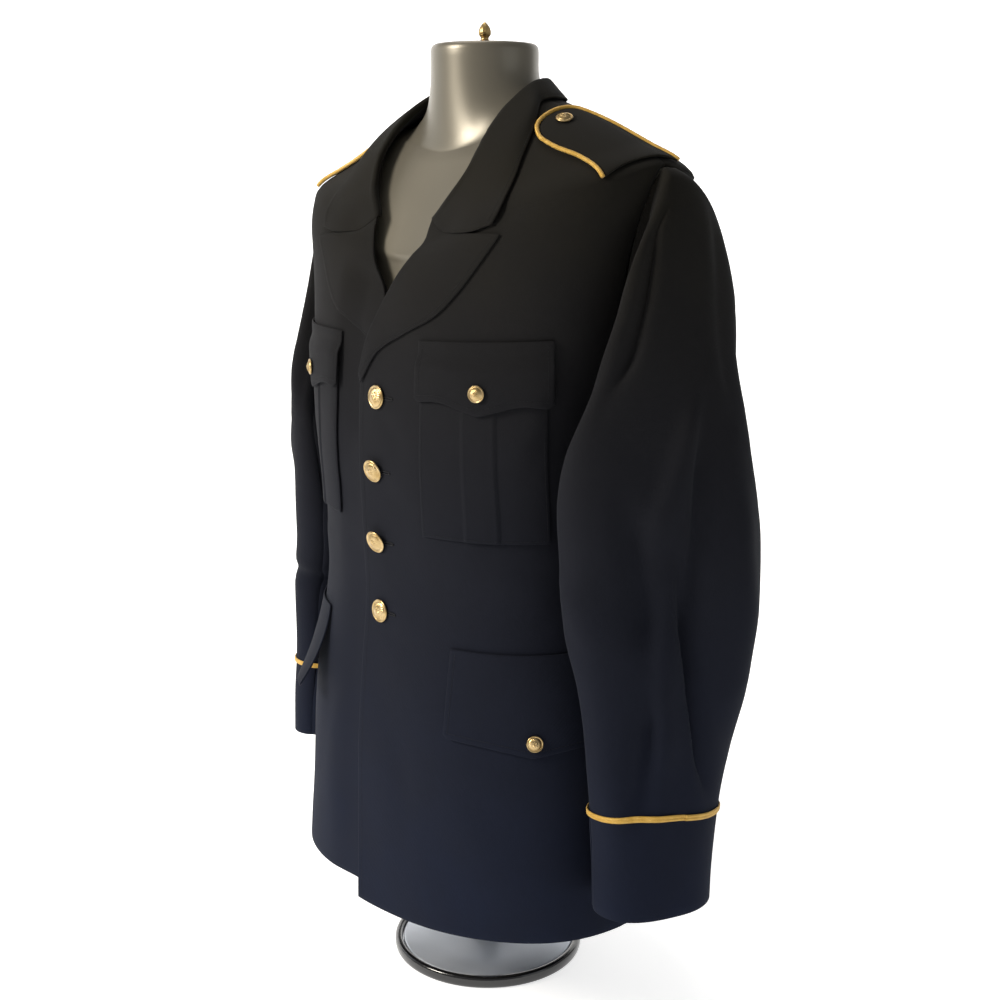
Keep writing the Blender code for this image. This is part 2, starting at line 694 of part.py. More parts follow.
def make_epaulet(side, mark, materials, collection):
    grid = []
    for x in STRAP_ROWS:
        front = STRAP.at("y_front", x)
        rear = STRAP.at("y_rear", x)
        across = [front + (rear - front) * j / 4 for j in range(5)]
        grid.append([strap_point(x, y, OVERLAY_GAP + 0.2 + WALL / 2, side) for y in across])
    add_sheet("epaulet_" + mark, grid, WALL, 0, materials["wool"], collection, flip=side < 0)
    beside = PIPING_RADIUS + 0.6
    along = (210, 200, 188, 176, 164, 152, 139, 127)
    outline = [(x, STRAP.at("y_front", x) - beside) for x in along]
    outline += [(118.5, -41.6), (112.0, -35.5), (109.2, -26.5), (109.2, -11), (112.2, 1.2), (118.5, 9.5)]
    outline += [(x, STRAP.at("y_rear", x) + beside) for x in reversed(along)]
    path = [strap_point(x, y, PIPING_RADIUS + OVERLAY_GAP, side) for x, y in outline]
    add_cord("epaulet_piping_" + mark, path, PIPING_RADIUS, materials["gold_braid"], collection)


def make_button(name, place, normal, radius, segments, material, collection):
    profile = [(radius * share, rise) for share, rise in BUTTON_PROFILE]
    add_turned(name, profile, segments, place, normal, material, collection)


def make_buttons(materials, collection):
    gilt = materials["gilt"]
    for name, level, angle, tilt in FRONT_BUTTONS:
        normal = body_normal(angle, level)
        turn = math.radians(tilt)
        leaning = (normal * math.cos(turn) + BUTTON_LEAN * math.sin(turn)).normalized()
        lift = BUTTON_GAP + max(0.3, 0.96 * BUTTON_LARGE * math.sin(turn) - 0.4)
        make_button(name, on_body(angle, level, lift), leaning, BUTTON_LARGE, 16, gilt, collection)
    for side, mark in ((1, "left"), (-1, "right")):
        level = BREAST_FLAP["button_level"]
        angle = girth_angle(level, (BREAST_FLAP["start"] + BREAST_FLAP["end"]) / 2)
        lift = BREAST_FLAP_REST + WALL + BUTTON_GAP - WALL / 2
        normal = mirror_direction(body_normal(angle, level), side)
        place = laid_point(angle, level, lift, side)
        make_button("breast_button_" + mark, place, normal, BUTTON_SMALL, 14, gilt, collection)
        level = HIP_FLAP["button_level"]
        angle = girth_angle(level, (HIP_FLAP["start"] + HIP_FLAP["end"]) / 2)
        full = HIP_FLAP["depth"] + HIP_FLAP["point"]
        fall = (HIP_FLAP["top"] - level) / full
        flare = HIP_FLAP["flare_right"] if side < 0 else HIP_FLAP["flare_left"]
        normal = (body_normal(angle, level) + UP * flare * fall / full).normalized()
        lift = hip_flap_lift(fall, 0.5, side) + WALL / 2 + BUTTON_GAP + 0.3
        place = laid_point(angle, level, lift, side)
        facing = mirror_direction(normal, side)
        make_button("hip_button_" + mark, place, facing, BUTTON_SMALL, 14, gilt, collection)
        angle, level = top_place(*STRAP_BUTTON)
        place = mirror(on_body(angle, level, OVERLAY_GAP + 0.2 + WALL + BUTTON_GAP), side)
        normal = mirror_direction(body_normal(angle, level), side)
        make_button("epaulet_button_" + mark, place, normal, BUTTON_SMALL, 14, gilt, collection)


# Inward step of the form from the cloth's outer face at each level.
FORM_INSET = Table(
    ("level", "inset"),
    ((330, 17), (430, 15), (560, 17), (670, 17), (770, 16), (811, 12), (818, 9.5), (831, 4.8), (850, 3.5),
     (878, 3.5)))
FORM_FRONT_INSET = 10.0   # at the open neck, fading out to the shoulders
FORM_LEVELS = (330, 375, 430, 500, 560, 620, 670, 720, 765, 800, 818, 830, 843, 857, 870, 880)
# The neck: a round stem reached by a hollow flare from the last body ring.
NECK_RADIUS = 52.0
NECK_Y = -2.0
NECK_FLARE_TOP = 924.0
NECK_FLARE_RINGS = 5
NECK_TOP = ((52.0, 938.0), (50.5, 942.0), (47.0, 943.5))
FORM_BOTTOM = ((0.84, 312.0), (0.95, 318.0))


def make_form(materials, collection):
    columns = 36
    body_rings = []
    for level in FORM_LEVELS:
        inset = FORM_INSET.at("inset", level)
        ring = []
        for k in range(columns):
            angle = 360 * k / columns
            from_front = min(angle, 360 - angle)
            deeper = max(0.0, FORM_FRONT_INSET - inset) * (1 - smooth(35, 70, from_front))
            ring.append(lower_right(on_body(angle, level, -inset - deeper)))
        body_rings.append(ring)
    rings = []
    for share, height in FORM_BOTTOM:
        rings.append([Vector((p.x * share, p.y * share, height)) for p in body_rings[0]])
    rings += body_rings
    stem = []
    for k in range(columns):
        turn = 2 * math.pi * k / columns
        out = Vector((math.sin(turn), -math.cos(turn), 0.0)) * NECK_RADIUS
        stem.append(Vector((0.0, NECK_Y, NECK_FLARE_TOP)) + out)
    for m in range(1, NECK_FLARE_RINGS + 1):
        quarter = math.pi / 2 * m / NECK_FLARE_RINGS
        ring = []
        for low, high in zip(body_rings[-1], stem):
            point = low + (high - low) * math.sin(quarter)
            point.z = low.z + (high.z - low.z) * (1 - math.cos(quarter))
            ring.append(point)
        rings.append(ring)
    for radius, height in NECK_TOP:
        share = radius / NECK_RADIUS
        rings.append([Vector((p.x * share, NECK_Y + (p.y - NECK_Y) * share, height)) for p in stem])
    add_loft("torso_form", rings, materials["form_shell"], collection)


def make_stand(materials, collection):
    origin = Vector((0.0, 0.0, 0.0))
    add_turned("base_plate", PLATE_PROFILE, 36, origin, UP, materials["plate"], collection)
    add_turned("base_rim", RIM_PROFILE, 36, origin, UP, materials["black_gloss"], collection, ring=True)
    top = Vector((0.0, NECK_Y, NECK_TOP[-1][1] + BUTTON_GAP))
    add_turned("finial", FINIAL_PROFILE, 12, top, UP, materials["aged_brass"], collection)


def main():
    clear_scene()
    materials = make_materials()
    collection = make_collection()
    wool = materials["wool"]
    for side, mark in ((1, "left"), (-1, "right")):
        make_front("front_" + mark, side, wool, collection)
        make_side("side_" + mark, side, wool, collection)
        make_back("back_" + mark, side, wool, collection)
        make_sleeve(side, mark, wool, collection)
        make_cuff_braid(side, mark, materials["gold_braid"], collection)
        make_lapel(side, mark, wool, collection)
        make_breast_pocket(side, mark, wool, collection)
        make_breast_flap(side, mark, wool, collection)
        make_hip_flap(side, mark, wool, collection)
        make_epaulet(side, mark, materials, collection)
    make_collar(wool, collection)
    make_buttons(materials, collection)
    make_form(materials, collection)
    make_stand(materials, collection)


main()
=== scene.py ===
import math
import bpy
import numpy as np
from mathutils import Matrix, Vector


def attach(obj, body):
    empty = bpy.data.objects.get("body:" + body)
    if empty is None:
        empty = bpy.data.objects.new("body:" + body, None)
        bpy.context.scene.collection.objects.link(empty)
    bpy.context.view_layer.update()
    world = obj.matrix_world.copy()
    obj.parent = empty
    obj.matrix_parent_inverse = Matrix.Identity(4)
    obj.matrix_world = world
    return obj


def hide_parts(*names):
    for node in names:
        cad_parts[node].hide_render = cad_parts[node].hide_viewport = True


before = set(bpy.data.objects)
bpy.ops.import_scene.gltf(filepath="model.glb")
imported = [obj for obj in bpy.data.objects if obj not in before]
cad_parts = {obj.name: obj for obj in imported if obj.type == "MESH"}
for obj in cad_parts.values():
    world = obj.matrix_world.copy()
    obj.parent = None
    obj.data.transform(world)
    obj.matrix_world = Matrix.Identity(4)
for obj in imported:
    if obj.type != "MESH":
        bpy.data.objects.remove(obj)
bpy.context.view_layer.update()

# A dark dress uniform jacket on a satin torso form. Tables are in millimetres, the front faces -Y.
mm = 0.001
wall = 1.8
panelGap = 0.55
overlayGap = 0.95
buttonGap = 0.5
frontAxis = np.array([0.0, -1.0, 0.0])
upAxis = np.array([0.0, 0.0, 1.0])
rest = bpy.context.scene.collection


def smooth(low, high, value):
    t = np.clip((np.asarray(value, float) - low) / (high - low), 0.0, 1.0)
    return t * t * (3 - 2 * t)


def unit(vectors):
    return vectors / np.maximum(np.linalg.norm(vectors, axis=-1, keepdims=True), 1e-12)


class Table:
    # named columns against a key, read anywhere between the rows, for one place or many
    def __init__(self, columns, rows):
        data = np.array(rows, float)
        self.keys = data[:, 0]
        self.columns = {name: data[:, i] for i, name in enumerate(columns)}
        self.slopes = {name: self.slopesOf(column) for name, column in self.columns.items()}

    def slopesOf(self, column):
        steps = np.diff(column) / np.diff(self.keys)
        slopes = np.empty(len(column))
        slopes[0], slopes[-1] = steps[0], steps[-1]
        before, after = steps[:-1], steps[1:]
        same = before * after > 0
        slopes[1:-1] = np.where(same, 2 * before * after / np.where(same, before + after, 1.0), 0.0)
        return slopes

    def at(self, name, place):
        keys, column, slopes = self.keys, self.columns[name], self.slopes[name]
        place = np.clip(np.asarray(place, float), keys[0], keys[-1])
        i = np.clip(np.searchsorted(keys, place, side="left") - 1, 0, len(keys) - 2)
        span = keys[i + 1] - keys[i]
        t = (place - keys[i]) / span
        start = (2 * t**3 - 3 * t**2 + 1) * column[i] + (t**3 - 2 * t**2 + t) * span * slopes[i]
        end = (3 * t**2 - 2 * t**3) * column[i + 1] + (t**3 - t**2) * span * slopes[i + 1]
        return start + end


# The jacket body as level rings: level is the height at the side of the ring.
body = Table(
    ("level", "zFront", "zBack", "halfWidth", "yMid", "yFront", "yBack", "square"),
    ((112, 104, 122, 218, 4, -154, 166, 2.5),
     (250, 248, 251, 206, 3, -151, 150, 2.5),
     (340, 340, 340, 197, 2, -145, 137, 2.45),
     (430, 430, 430, 180, 0, -139, 121, 2.4),
     (500, 500, 500, 178, 0, -141, 121, 2.4),
     (560, 560, 560, 186, 0, -143, 128, 2.4),
     (620, 619, 620, 194, 0, -141, 136, 2.4),
     (670, 663, 668, 201, 2, -137, 141, 2.45),
     (720, 695, 707, 208, 4, -131, 144, 2.5),
     (770, 724, 745, 216, 6, -123, 144, 2.6),
     (810, 745, 775, 225, 8, -115, 140, 2.7),
     (830, 757, 794, 229, 8, -109, 133, 2.7),
     (847, 788, 821, 193, 8, -94, 117, 2.5),
     (867, 822, 851, 148, 8, -77, 98, 2.3),
     (884, 854, 877, 101, 8, -63, 74, 2.1),
     (894, 875, 893, 71, 8, -55, 58, 2.0)))
rightShoulderDrop = 11.0
ringDip = 1.3        # how the height changes from the side of a ring to its front and back
hemLevel = 112
hemLeft = -9.0
hemRight = 12.0
armLevel = 655       # where the side seams reach the armhole
shoulderLevel = 830
neckLevel = 894

# The armhole is an egg in angle and level, about the side of the body at 90 degrees.
armholeMiddle = 0.36
armholeDrop = 0.50
armholeFront = 6.5
armholeBack = 19.5

# Inner edge of a front: straight down the closing, then the roll line, then the neck seam.
frontEdge = Table(
    ("level", "angle"),
    ((112, -9.5), (600, -9.8), (634, -9.5), (680, -4.4), (746, 3.6), (785, 10), (815, 16.2), (834, 22.0),
     (844.5, 27), (856, 37), (868, 47.5), (882, 62), (890, 74), (894, 83)))
# The right front lies under the left one, deeper where its lapel is between them.
underlap = Table(("level", "sink"), ((112, 3.0), (564, 3.0), (608, 7.8), (755, 7.8), (800, 0.5), (830, 0)))
underlapFullTo = 13.0
underlapGoneAt = 30.0

# Lapel: the roll line and the outer edge, each as an angle and a level on the body.
lapelShape = Table(
    ("step", "rollAngle", "rollLevel", "edgeAngle", "edgeLevel"),
    ((0, -9.2, 638, -8.2, 630), (0.14, -6.4, 664, 2, 666), (0.34, -2.0, 704, 17.5, 693),
     (0.54, 2.8, 742, 30, 715), (0.72, 8.2, 778, 37.5, 740), (0.88, 14.8, 812, 45, 773),
     (1.0, 22.0, 840, 51, 804)))
lapelOverhang = 0.5      # degrees that the lapel stands past the front's edge
notchPlace = 0.6
notchDip = -1.0

# Collar, left half: neck seam and outer edge on the body, the fold line in space.
collarShape = Table(
    ("step", "seamAngle", "seamLevel", "foldX", "foldY", "foldZ", "fallAngle", "fallLevel", "fallLift",
     "edgeAngle", "edgeLevel"),
    ((0, 27.0, 844.5, 46, -103, 791, 39.5, 822, 2.6, 48.7, 819),
     (0.5, 37, 856, 62, -90, 814, 44.5, 844, 4, 52, 834),
     (1, 47.5, 868, 71, -70, 846, 53, 857, 6, 56, 845),
     (1.6, 62, 882, 69, -34, 883, 64, 875, 8, 62, 863),
     (2.2, 83, 894, 60, 7, 906, 85, 892, 6, 82, 889),
     (2.9, 117, 894, 43, 36, 910, 120, 893, 6, 122, 890),
     (3.6, 152, 894, 20, 54, 911, 155, 893, 6.5, 155, 888),
     (4.0, 180, 894, 0, 58, 911, 180, 893, 6.5, 180, 887)))
collarSeam = 1.7     # from the panels' neck edge to the start of the stand
foldRadius = 2.6
collarEdgeClear = 0.7

# Sleeve rings below the armhole: the outermost and innermost points and the depth to front and back.
sleeveShape = Table(
    ("stage", "xOut", "zOut", "xIn", "zIn", "yMid", "frontDepth", "backDepth", "square", "yaw"),
    ((0, 229, 830, 207, 634, 6, 16, 72, 2.0, 0),
     (1, 240, 822, 214, 628, 4, 26, 78, 2.0, 4),
     (2, 249, 795, 213, 614, 0, 40, 82, 2.05, 10),
     (3, 256, 750, 210, 594, -3, 48, 84, 2.1, 16),
     (4, 262, 692, 205, 568, -5, 63, 85, 2.15, 21),
     (5, 269, 632, 201, 540, -4, 84, 88, 2.2, 26),
     (6, 276, 565, 198, 505, -1, 91, 91, 2.2, 28),
     (7, 281, 500, 195, 462, 3, 92, 92, 2.2, 28),
     (8, 284, 435, 198, 415, 3, 90, 90, 2.2, 26),
     (9, 285, 370, 209, 362, -1, 82, 82, 2.2, 18),
     (10, 286, 310, 215, 306, -7, 73, 73, 2.2, 14),
     (11, 289, 245, 216, 245, -13, 64, 64, 2.2, 11),
     (12, 292, 184, 218, 188, -18, 59, 59, 2.2, 9),
     (12.3, 293, 162, 219, 166, -19, 58, 58, 2.2, 9)))
rightSleeveBack = 3.0   # the right sleeve hangs this much further back at the cuff
rightSleeveFull = 11.0  # and is this much fuller in front at the upper arm
leftCuffRise = {"rise": -9.0, "from": 11.0, "to": 12.3}
rightCuffRise = {"rise": 25.0, "from": 7.0, "to": 10.5}
sleeveSeamFront = 6     # columns of the armhole loop where the two sleeve pieces meet
sleeveSeamBack = 14
sleeveStartLift = 0.3


def lowerRight(points):
    drop = rightShoulderDrop * smooth(30, 170, -points[..., 0]) * smooth(620, 790, points[..., 2])
    return points - drop[..., None] * upAxis


def mirror(points, side):
    if side > 0:
        return points
    return lowerRight(points * np.array([-1.0, 1.0, 1.0]))


def mirrorDirection(direction, side):
    return direction * np.array([float(side), 1.0, 1.0])


def roundedReach(first, firstHalf, second, secondHalf, square):
    # how far a rounded-off rectangle reaches in a direction given by its two parts
    return ((abs(first) / firstHalf) ** square + (abs(second) / secondHalf) ** square) ** (-1 / square)


def bodyPoint(angle, level):
    angle, level = np.broadcast_arrays(np.asarray(angle, float), np.asarray(level, float))
    across, ahead = np.sin(np.radians(angle)), np.cos(np.radians(angle))
    yMid = body.at("yMid", level)
    inFront = ahead > 0
    depth = np.where(inFront, yMid - body.at("yFront", level), body.at("yBack", level) - yMid)
    zEnd = np.where(inFront, body.at("zFront", level), body.at("zBack", level))
    square = body.at("square", level)
    reach = roundedReach(across, body.at("halfWidth", level), ahead, depth, square)
    height = level + (zEnd - level) * abs(ahead) ** ringDip
    return np.stack([reach * across, yMid - reach * ahead, height], -1)


def bodyNormal(angle, level):
    along = bodyPoint(angle + 0.4, level) - bodyPoint(angle - 0.4, level)
    above, below = np.minimum(level + 1.5, neckLevel), np.maximum(level - 1.5, hemLevel)
    rise = bodyPoint(angle, above) - bodyPoint(angle, below)
    return unit(np.cross(along, rise))


def onBody(angle, level, lift=0.0):
    angle, level = np.broadcast_arrays(np.asarray(angle, float), np.asarray(level, float))
    return bodyPoint(angle, level) + bodyNormal(angle, level) * np.asarray(lift, float)[..., None]


def angleStep(angle, level, distance):
    reach = np.linalg.norm(bodyPoint(angle + 0.5, level) - bodyPoint(angle - 0.5, level), axis=-1)
    return distance / reach


def girthAngle(level, distance):
    # the angle at this distance round the body from the centre front
    level, distance = np.broadcast_arrays(np.asarray(level, float), np.asarray(distance, float))
    turns = np.arange(0.0, 151.0)
    ring = bodyPoint(turns[None, :], level.ravel()[:, None])
    girth = np.concatenate([np.zeros((level.size, 1)), np.linalg.norm(np.diff(ring, axis=1), axis=-1).cumsum(1)], 1)
    found = [np.interp(d, g, turns) for d, g in zip(distance.ravel(), girth)]
    return np.array(found).reshape(level.shape)


def sinkRight(angle, level):
    return underlap.at("sink", level) * (1 - smooth(underlapFullTo, underlapGoneAt, angle))


def hemShift(angle, level, side):
    shift = hemLeft if side > 0 else hemRight
    return shift * (1 - smooth(-10, 60, angle)) * (1 - smooth(hemLevel, 290, level))


def topPlace(x, y):
    # angle and level of the shoulder surface straight under a point seen from above
    x, y = np.broadcast_arrays(np.asarray(x, float), np.asarray(y, float))
    back = body.at("yMid", shoulderLevel) - y
    angle, reach = np.degrees(np.arctan2(x, back)), np.hypot(x, back)
    low, high = np.full(x.shape, float(shoulderLevel)), np.full(x.shape, float(neckLevel))
    for _ in range(30):
        middle = (low + high) / 2
        point = bodyPoint(angle, middle)
        outside = np.hypot(point[..., 0], point[..., 1] - body.at("yMid", middle)) > reach
        low, high = np.where(outside, middle, low), np.where(outside, high, middle)
    return angle, (low + high) / 2


def armholeAngle(level, front):
    place = (level - armLevel) / (shoulderLevel - armLevel)
    widest = armholeFront if front else armholeBack
    off = np.where(place >= armholeMiddle, (place - armholeMiddle) / (1 - armholeMiddle),
                   (armholeMiddle - place) / armholeDrop)
    spread = widest * np.sqrt(np.maximum(0.0, 1 - off * off))
    return 90 - spread if front else 90 + spread


def armholeBottom(angle):
    off = (angle - 90) / np.where(angle < 90, armholeFront, armholeBack)
    place = armholeMiddle - armholeDrop * np.sqrt(np.maximum(0.0, 1 - off * off))
    return armLevel + place * (shoulderLevel - armLevel)


sideFront = float(armholeAngle(armLevel, True))
sideBack = float(armholeAngle(armLevel, False))
armRows, loopCount, underStart, underEnd = 7, 20, 7, 13   # columns of the armhole loop


def armholeLevel(t):
    return armLevel + (shoulderLevel - armLevel) * (np.sin(t * math.pi / 2) * 0.5 + t * 0.5)


def loopPlace(column):
    # angle and level round the armhole: down its front, under the arm, up its back
    c = np.asarray(column, float) % loopCount
    frontLevel = armholeLevel(np.clip(1 - c / armRows, 0, 1))
    backLevel = armholeLevel(np.clip((c - underEnd) / armRows, 0, 1))
    underAngle = sideFront + (sideBack - sideFront) * np.clip((c - underStart) / (underEnd - underStart), 0, 1)
    inFront, behind = c <= underStart, c >= underEnd
    behindAngle = np.where(behind, armholeAngle(backLevel, False), underAngle)
    angle = np.where(inFront, armholeAngle(frontLevel, True), behindAngle)
    level = np.where(inFront, frontLevel, np.where(behind, backLevel, armholeBottom(underAngle)))
    return angle, level


armCentre = (bodyPoint(90, shoulderLevel) + bodyPoint(90, armholeBottom(90.0))) / 2


def loopTurn(column):
    # turn about the middle of the armhole, 0 at the top, rising to the front
    c = np.asarray(column, float) % loopCount
    point = bodyPoint(*loopPlace(c))
    turn = np.degrees(np.arctan2(armCentre[1] - point[..., 1], point[..., 2] - armCentre[2])) % 360
    turn = np.where((c < 4) & (turn > 180), turn - 360, turn)
    return np.where((c > 16) & (turn < 180), turn + 360, turn)


def sleevePoint(column, stage, lift, side):
    c, stage, lift = np.broadcast_arrays(np.asarray(column, float) % loopCount, np.asarray(stage, float),
                                         np.asarray(lift, float))
    mix = smooth(0, 6, stage)
    turn = np.radians(loopTurn(c) * (1 - mix) + 360 * c / loopCount * mix)
    zero = np.zeros_like(stage)
    outPoint = np.stack([sleeveShape.at("xOut", stage), zero, sleeveShape.at("zOut", stage)], -1)
    inPoint = np.stack([sleeveShape.at("xIn", stage), zero, sleeveShape.at("zIn", stage)], -1)
    middle = (outPoint + inPoint) / 2
    back = rightSleeveBack * smooth(3, 11, stage) if side < 0 else 0.0
    middle[..., 1] = sleeveShape.at("yMid", stage) + back
    cuff = rightCuffRise if side < 0 else leftCuffRise
    middle[..., 2] += cuff["rise"] * smooth(cuff["from"], cuff["to"], stage)
    half = (outPoint - inPoint) / 2
    reach = np.linalg.norm(half, axis=-1) + lift
    square = sleeveShape.at("square", stage)
    up, fore = np.cos(turn), np.sin(turn)
    frontDepth = sleeveShape.at("frontDepth", stage)
    if side < 0:
        frontDepth = frontDepth + rightSleeveFull * smooth(0.6, 2.4, stage) * (1 - smooth(4, 6, stage))
    depth = np.where(fore > 0, frontDepth, sleeveShape.at("backDepth", stage)) + lift
    radius = roundedReach(up, reach, fore, depth, square)
    lean = np.stack([-sleeveShape.at("yaw", stage) * fore, zero, zero], -1)
    return middle + unit(half) * (up * radius)[..., None] + frontAxis * (fore * radius)[..., None] + lean


def armholeStart(column, side):
    angle, level = loopPlace(column)
    point, normal = bodyPoint(angle, level), bodyNormal(angle, level)
    inward = armCentre - point
    inward = unit(inward - normal * (inward * normal).sum(-1, keepdims=True))
    return point + inward * (panelGap + wall / 2) + normal * sleeveStartLift


# Cloth shells: a grid of middle points becomes two faces with a rounded edge.
def gridNormals(grid, closed):
    if closed:
        across = np.roll(grid, -1, 1) - np.roll(grid, 1, 1)
    else:
        across = np.gradient(grid, axis=1)
    along = np.gradient(grid, axis=0)
    return unit(np.cross(across, along))


def arcLengths(grid, closed):
    # cloth coordinates in metres, so a weave keeps its scale on every piece
    across = np.linalg.norm(np.diff(grid, axis=1), axis=-1)
    u = np.concatenate([np.zeros((len(grid), 1)), across.cumsum(1)], 1)
    u = u - u[:, u.shape[1] // 2][:, None]
    middle = grid[:, grid.shape[1] // 2]
    v = np.concatenate([[0.0], np.linalg.norm(np.diff(middle, axis=0), axis=-1).cumsum()])
    return np.stack([u, np.repeat(v[:, None], grid.shape[1], 1)], -1) * mm


surfaces = {}


def clothMesh(name, grid, thick, side=1, closed=False):
    rows, columns = grid.shape[:2]
    normal = gridNormals(grid, closed) * side
    outer, inner = grid + normal * thick / 2, grid - normal * thick / 2
    surfaces[name] = (grid, normal)
    number = np.arange(rows * columns).reshape(rows, columns)
    points, coords = [outer.reshape(-1, 3), inner.reshape(-1, 3)], arcLengths(grid, closed).reshape(-1, 2)
    uvs = [coords, coords]
    last = columns if closed else columns - 1
    nextColumn = np.roll(number, -1, 1)
    quads = np.stack([number[:-1, :last], nextColumn[:-1, :last], nextColumn[1:, :last], number[1:, :last]], -1)
    quads = quads.reshape(-1, 4)
    if side < 0:
        quads = quads[:, ::-1]
    faces = [quads, quads[:, ::-1] + rows * columns]
    if closed:
        loops = [(number[0], number[1]), (number[-1][::-1], number[-2][::-1])]
    else:
        ring = np.concatenate([number[0], number[1:, -1], number[-1, -2::-1], number[-2:0:-1, 0]])
        inside = np.concatenate([number[1], number[1:, -2], number[-2, -2::-1], number[-2:0:-1, 1]])
        inside[0], inside[columns - 1] = number[1, 1], number[1, -2]
        inside[columns + rows - 2], inside[2 * columns + rows - 3] = number[-2, -2], number[-2, 1]
        loops = [(ring, inside)]
    base = 2 * rows * columns
    flatGrid, flatNormal = grid.reshape(-1, 3), normal.reshape(-1, 3)
    for ring, inside in loops:
        outward = flatGrid[ring] - flatGrid[inside]
        n = flatNormal[ring]
        outward = unit(outward - n * (outward * n).sum(-1, keepdims=True))
        chain = [ring]
        for turn in (45, 90, 135):
            c, s = math.cos(math.radians(turn)), math.sin(math.radians(turn))
            points.append(flatGrid[ring] + n * (thick / 2 * c) + outward * (thick / 2 * s * 0.9))
            uvs.append(coords[ring])
            chain.append(base + np.arange(len(ring)))
            base += len(ring)
        chain.append(ring + rows * columns)
        for a, b in zip(chain[:-1], chain[1:]):
            strip = np.stack([np.roll(a, -1), a, b, np.roll(b, -1)], -1)
            faces.append(strip if side > 0 else strip[:, ::-1])
    points, uvs, faces = np.concatenate(points), np.concatenate(uvs), np.concatenate(faces)
    return meshFrom(name, points, faces, uvs)


def meshFrom(name, points, faces, uvs=None):
    mesh = bpy.data.meshes.new(name)
    mesh.from_pydata((points * mm).tolist(), [], faces.tolist() if hasattr(faces, "tolist") else faces)
    mesh.update()
    if uvs is not None:
        layer = mesh.uv_layers.new(name="cloth")
        index = np.empty(len(mesh.loops), int)
        mesh.loops.foreach_get("vertex_index", index)
        layer.data.foreach_set("uv", uvs[index].astype(np.float32).ravel())
    mesh.shade_smooth()
    return mesh


def place(name, mesh, material, slotName, *nodes):
    item = bpy.data.objects.new(name, mesh)
    rest.objects.link(item)
    mesh.materials.append(material)
    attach(item, "root")
    if nodes:
        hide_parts(*nodes)
    return item


class Socket:
    # a shader socket that takes part in arithmetic
    def __init__(self, tree, link):
        self.tree, self.link = tree, link

    def maths(self, operation, *others):
        return self.tree.node("ShaderNodeMath", {"operation": operation}, [self, *others])

    def __add__(self, other):
        return self.maths("ADD", other)

    def __sub__(self, other):
        return self.maths("SUBTRACT", other)

    def __mul__(self, other):
        return self.maths("MULTIPLY", other)

    def __truediv__(self, other):
        return self.maths("DIVIDE", other)

    def __pow__(self, other):
        return self.maths("POWER", other)

    def __radd__(self, other):
        return self + other

    def __rmul__(self, other):
        return self * other

    def __rsub__(self, other):
        return self.tree.node("ShaderNodeMath", {"operation": "SUBTRACT"}, [other, self])


class Finish:
    # one material: a Principled shader and the nodes that feed it
    def __init__(self, name, **shader):
        self.material = bpy.data.materials.new(name)
        self.material.use_nodes = True
        self.nodes = self.material.node_tree.nodes
        self.links = self.material.node_tree.links
        self.shader = self.nodes["Principled BSDF"]
        for socket, value in shader.items():
            self.set(socket, value)

    def set(self, socket, value):
        target = self.shader.inputs[socket]
        if isinstance(value, Socket):
            self.links.new(value.link, target)
        else:
            target.default_value = value

    def node(self, kind, settings=None, sockets=None, output=0):
        made = self.nodes.new(kind)
        for key, value in (settings or {}).items():
            if key == "stops":
                ramp = made.color_ramp.elements
                while len(ramp) < len(value):
                    ramp.new(0.5)
                for stop, (position, colour) in zip(ramp, value):
                    stop.position, stop.color = position, colour
            else:
                setattr(made, key, value)
        pairs = enumerate(sockets) if isinstance(sockets, list) else (sockets or {}).items()
        for key, value in pairs:
            if isinstance(value, Socket):
                self.links.new(value.link, made.inputs[key])
            else:
                made.inputs[key].default_value = value
        return Socket(self, made.outputs[output])

    def place(self, kind="Object"):
        return self.node("ShaderNodeTexCoord", output=kind)

    def scaled(self, vector, x, y, z):
        return self.node("ShaderNodeMapping", {}, {"Vector": vector, "Scale": (x, y, z)})

    def noise(self, vector, scale, detail=3.0, roughness=0.5):
        return self.node("ShaderNodeTexNoise", {},
                         {"Vector": vector, "Scale": scale, "Detail": detail, "Roughness": roughness})

    def waves(self, vector, scale, profile="SIN", distortion=0.0, direction="X"):
        return self.node("ShaderNodeTexWave", {"wave_profile": profile, "bands_direction": direction},
                         {"Vector": vector, "Scale": scale, "Distortion": distortion, "Detail": 1.0})

    def mixColour(self, factor, first, second, blend="MIX"):
        made = self.nodes.new("ShaderNodeMix")
        made.data_type, made.blend_type = "RGBA", blend
        for index, value in ((0, factor), (6, first), (7, second)):
            if isinstance(value, Socket):
                self.links.new(value.link, made.inputs[index])
            else:
                made.inputs[index].default_value = value
        return Socket(self, made.outputs[2])

    def ramp(self, factor, *stops):
        return self.node("ShaderNodeValToRGB", {"stops": stops}, {"Fac": factor})

    def range(self, value, low, high, newLow, newHigh):
        return self.node("ShaderNodeMapRange", {"clamp": True}, [value, low, high, newLow, newHigh])

    def bump(self, height, distance, strength=1.0, below=None):
        sockets = {"Height": height, "Distance": distance, "Strength": strength}
        if below is not None:
            sockets["Normal"] = below
        return self.node("ShaderNodeBump", {}, sockets)


# high is the cloth tinted warm and low is the cloth tinted cool: painted light, as from warm light above and cool
# light below
wool = {"high": (0.0080, 0.0071, 0.0052, 1), "low": (0.0050, 0.0072, 0.0165, 1), "lift": (1.7, 1.7, 1.65, 1),
        "twillPitch": 0.0011, "roughness": 0.88, "sheen": 0.03}


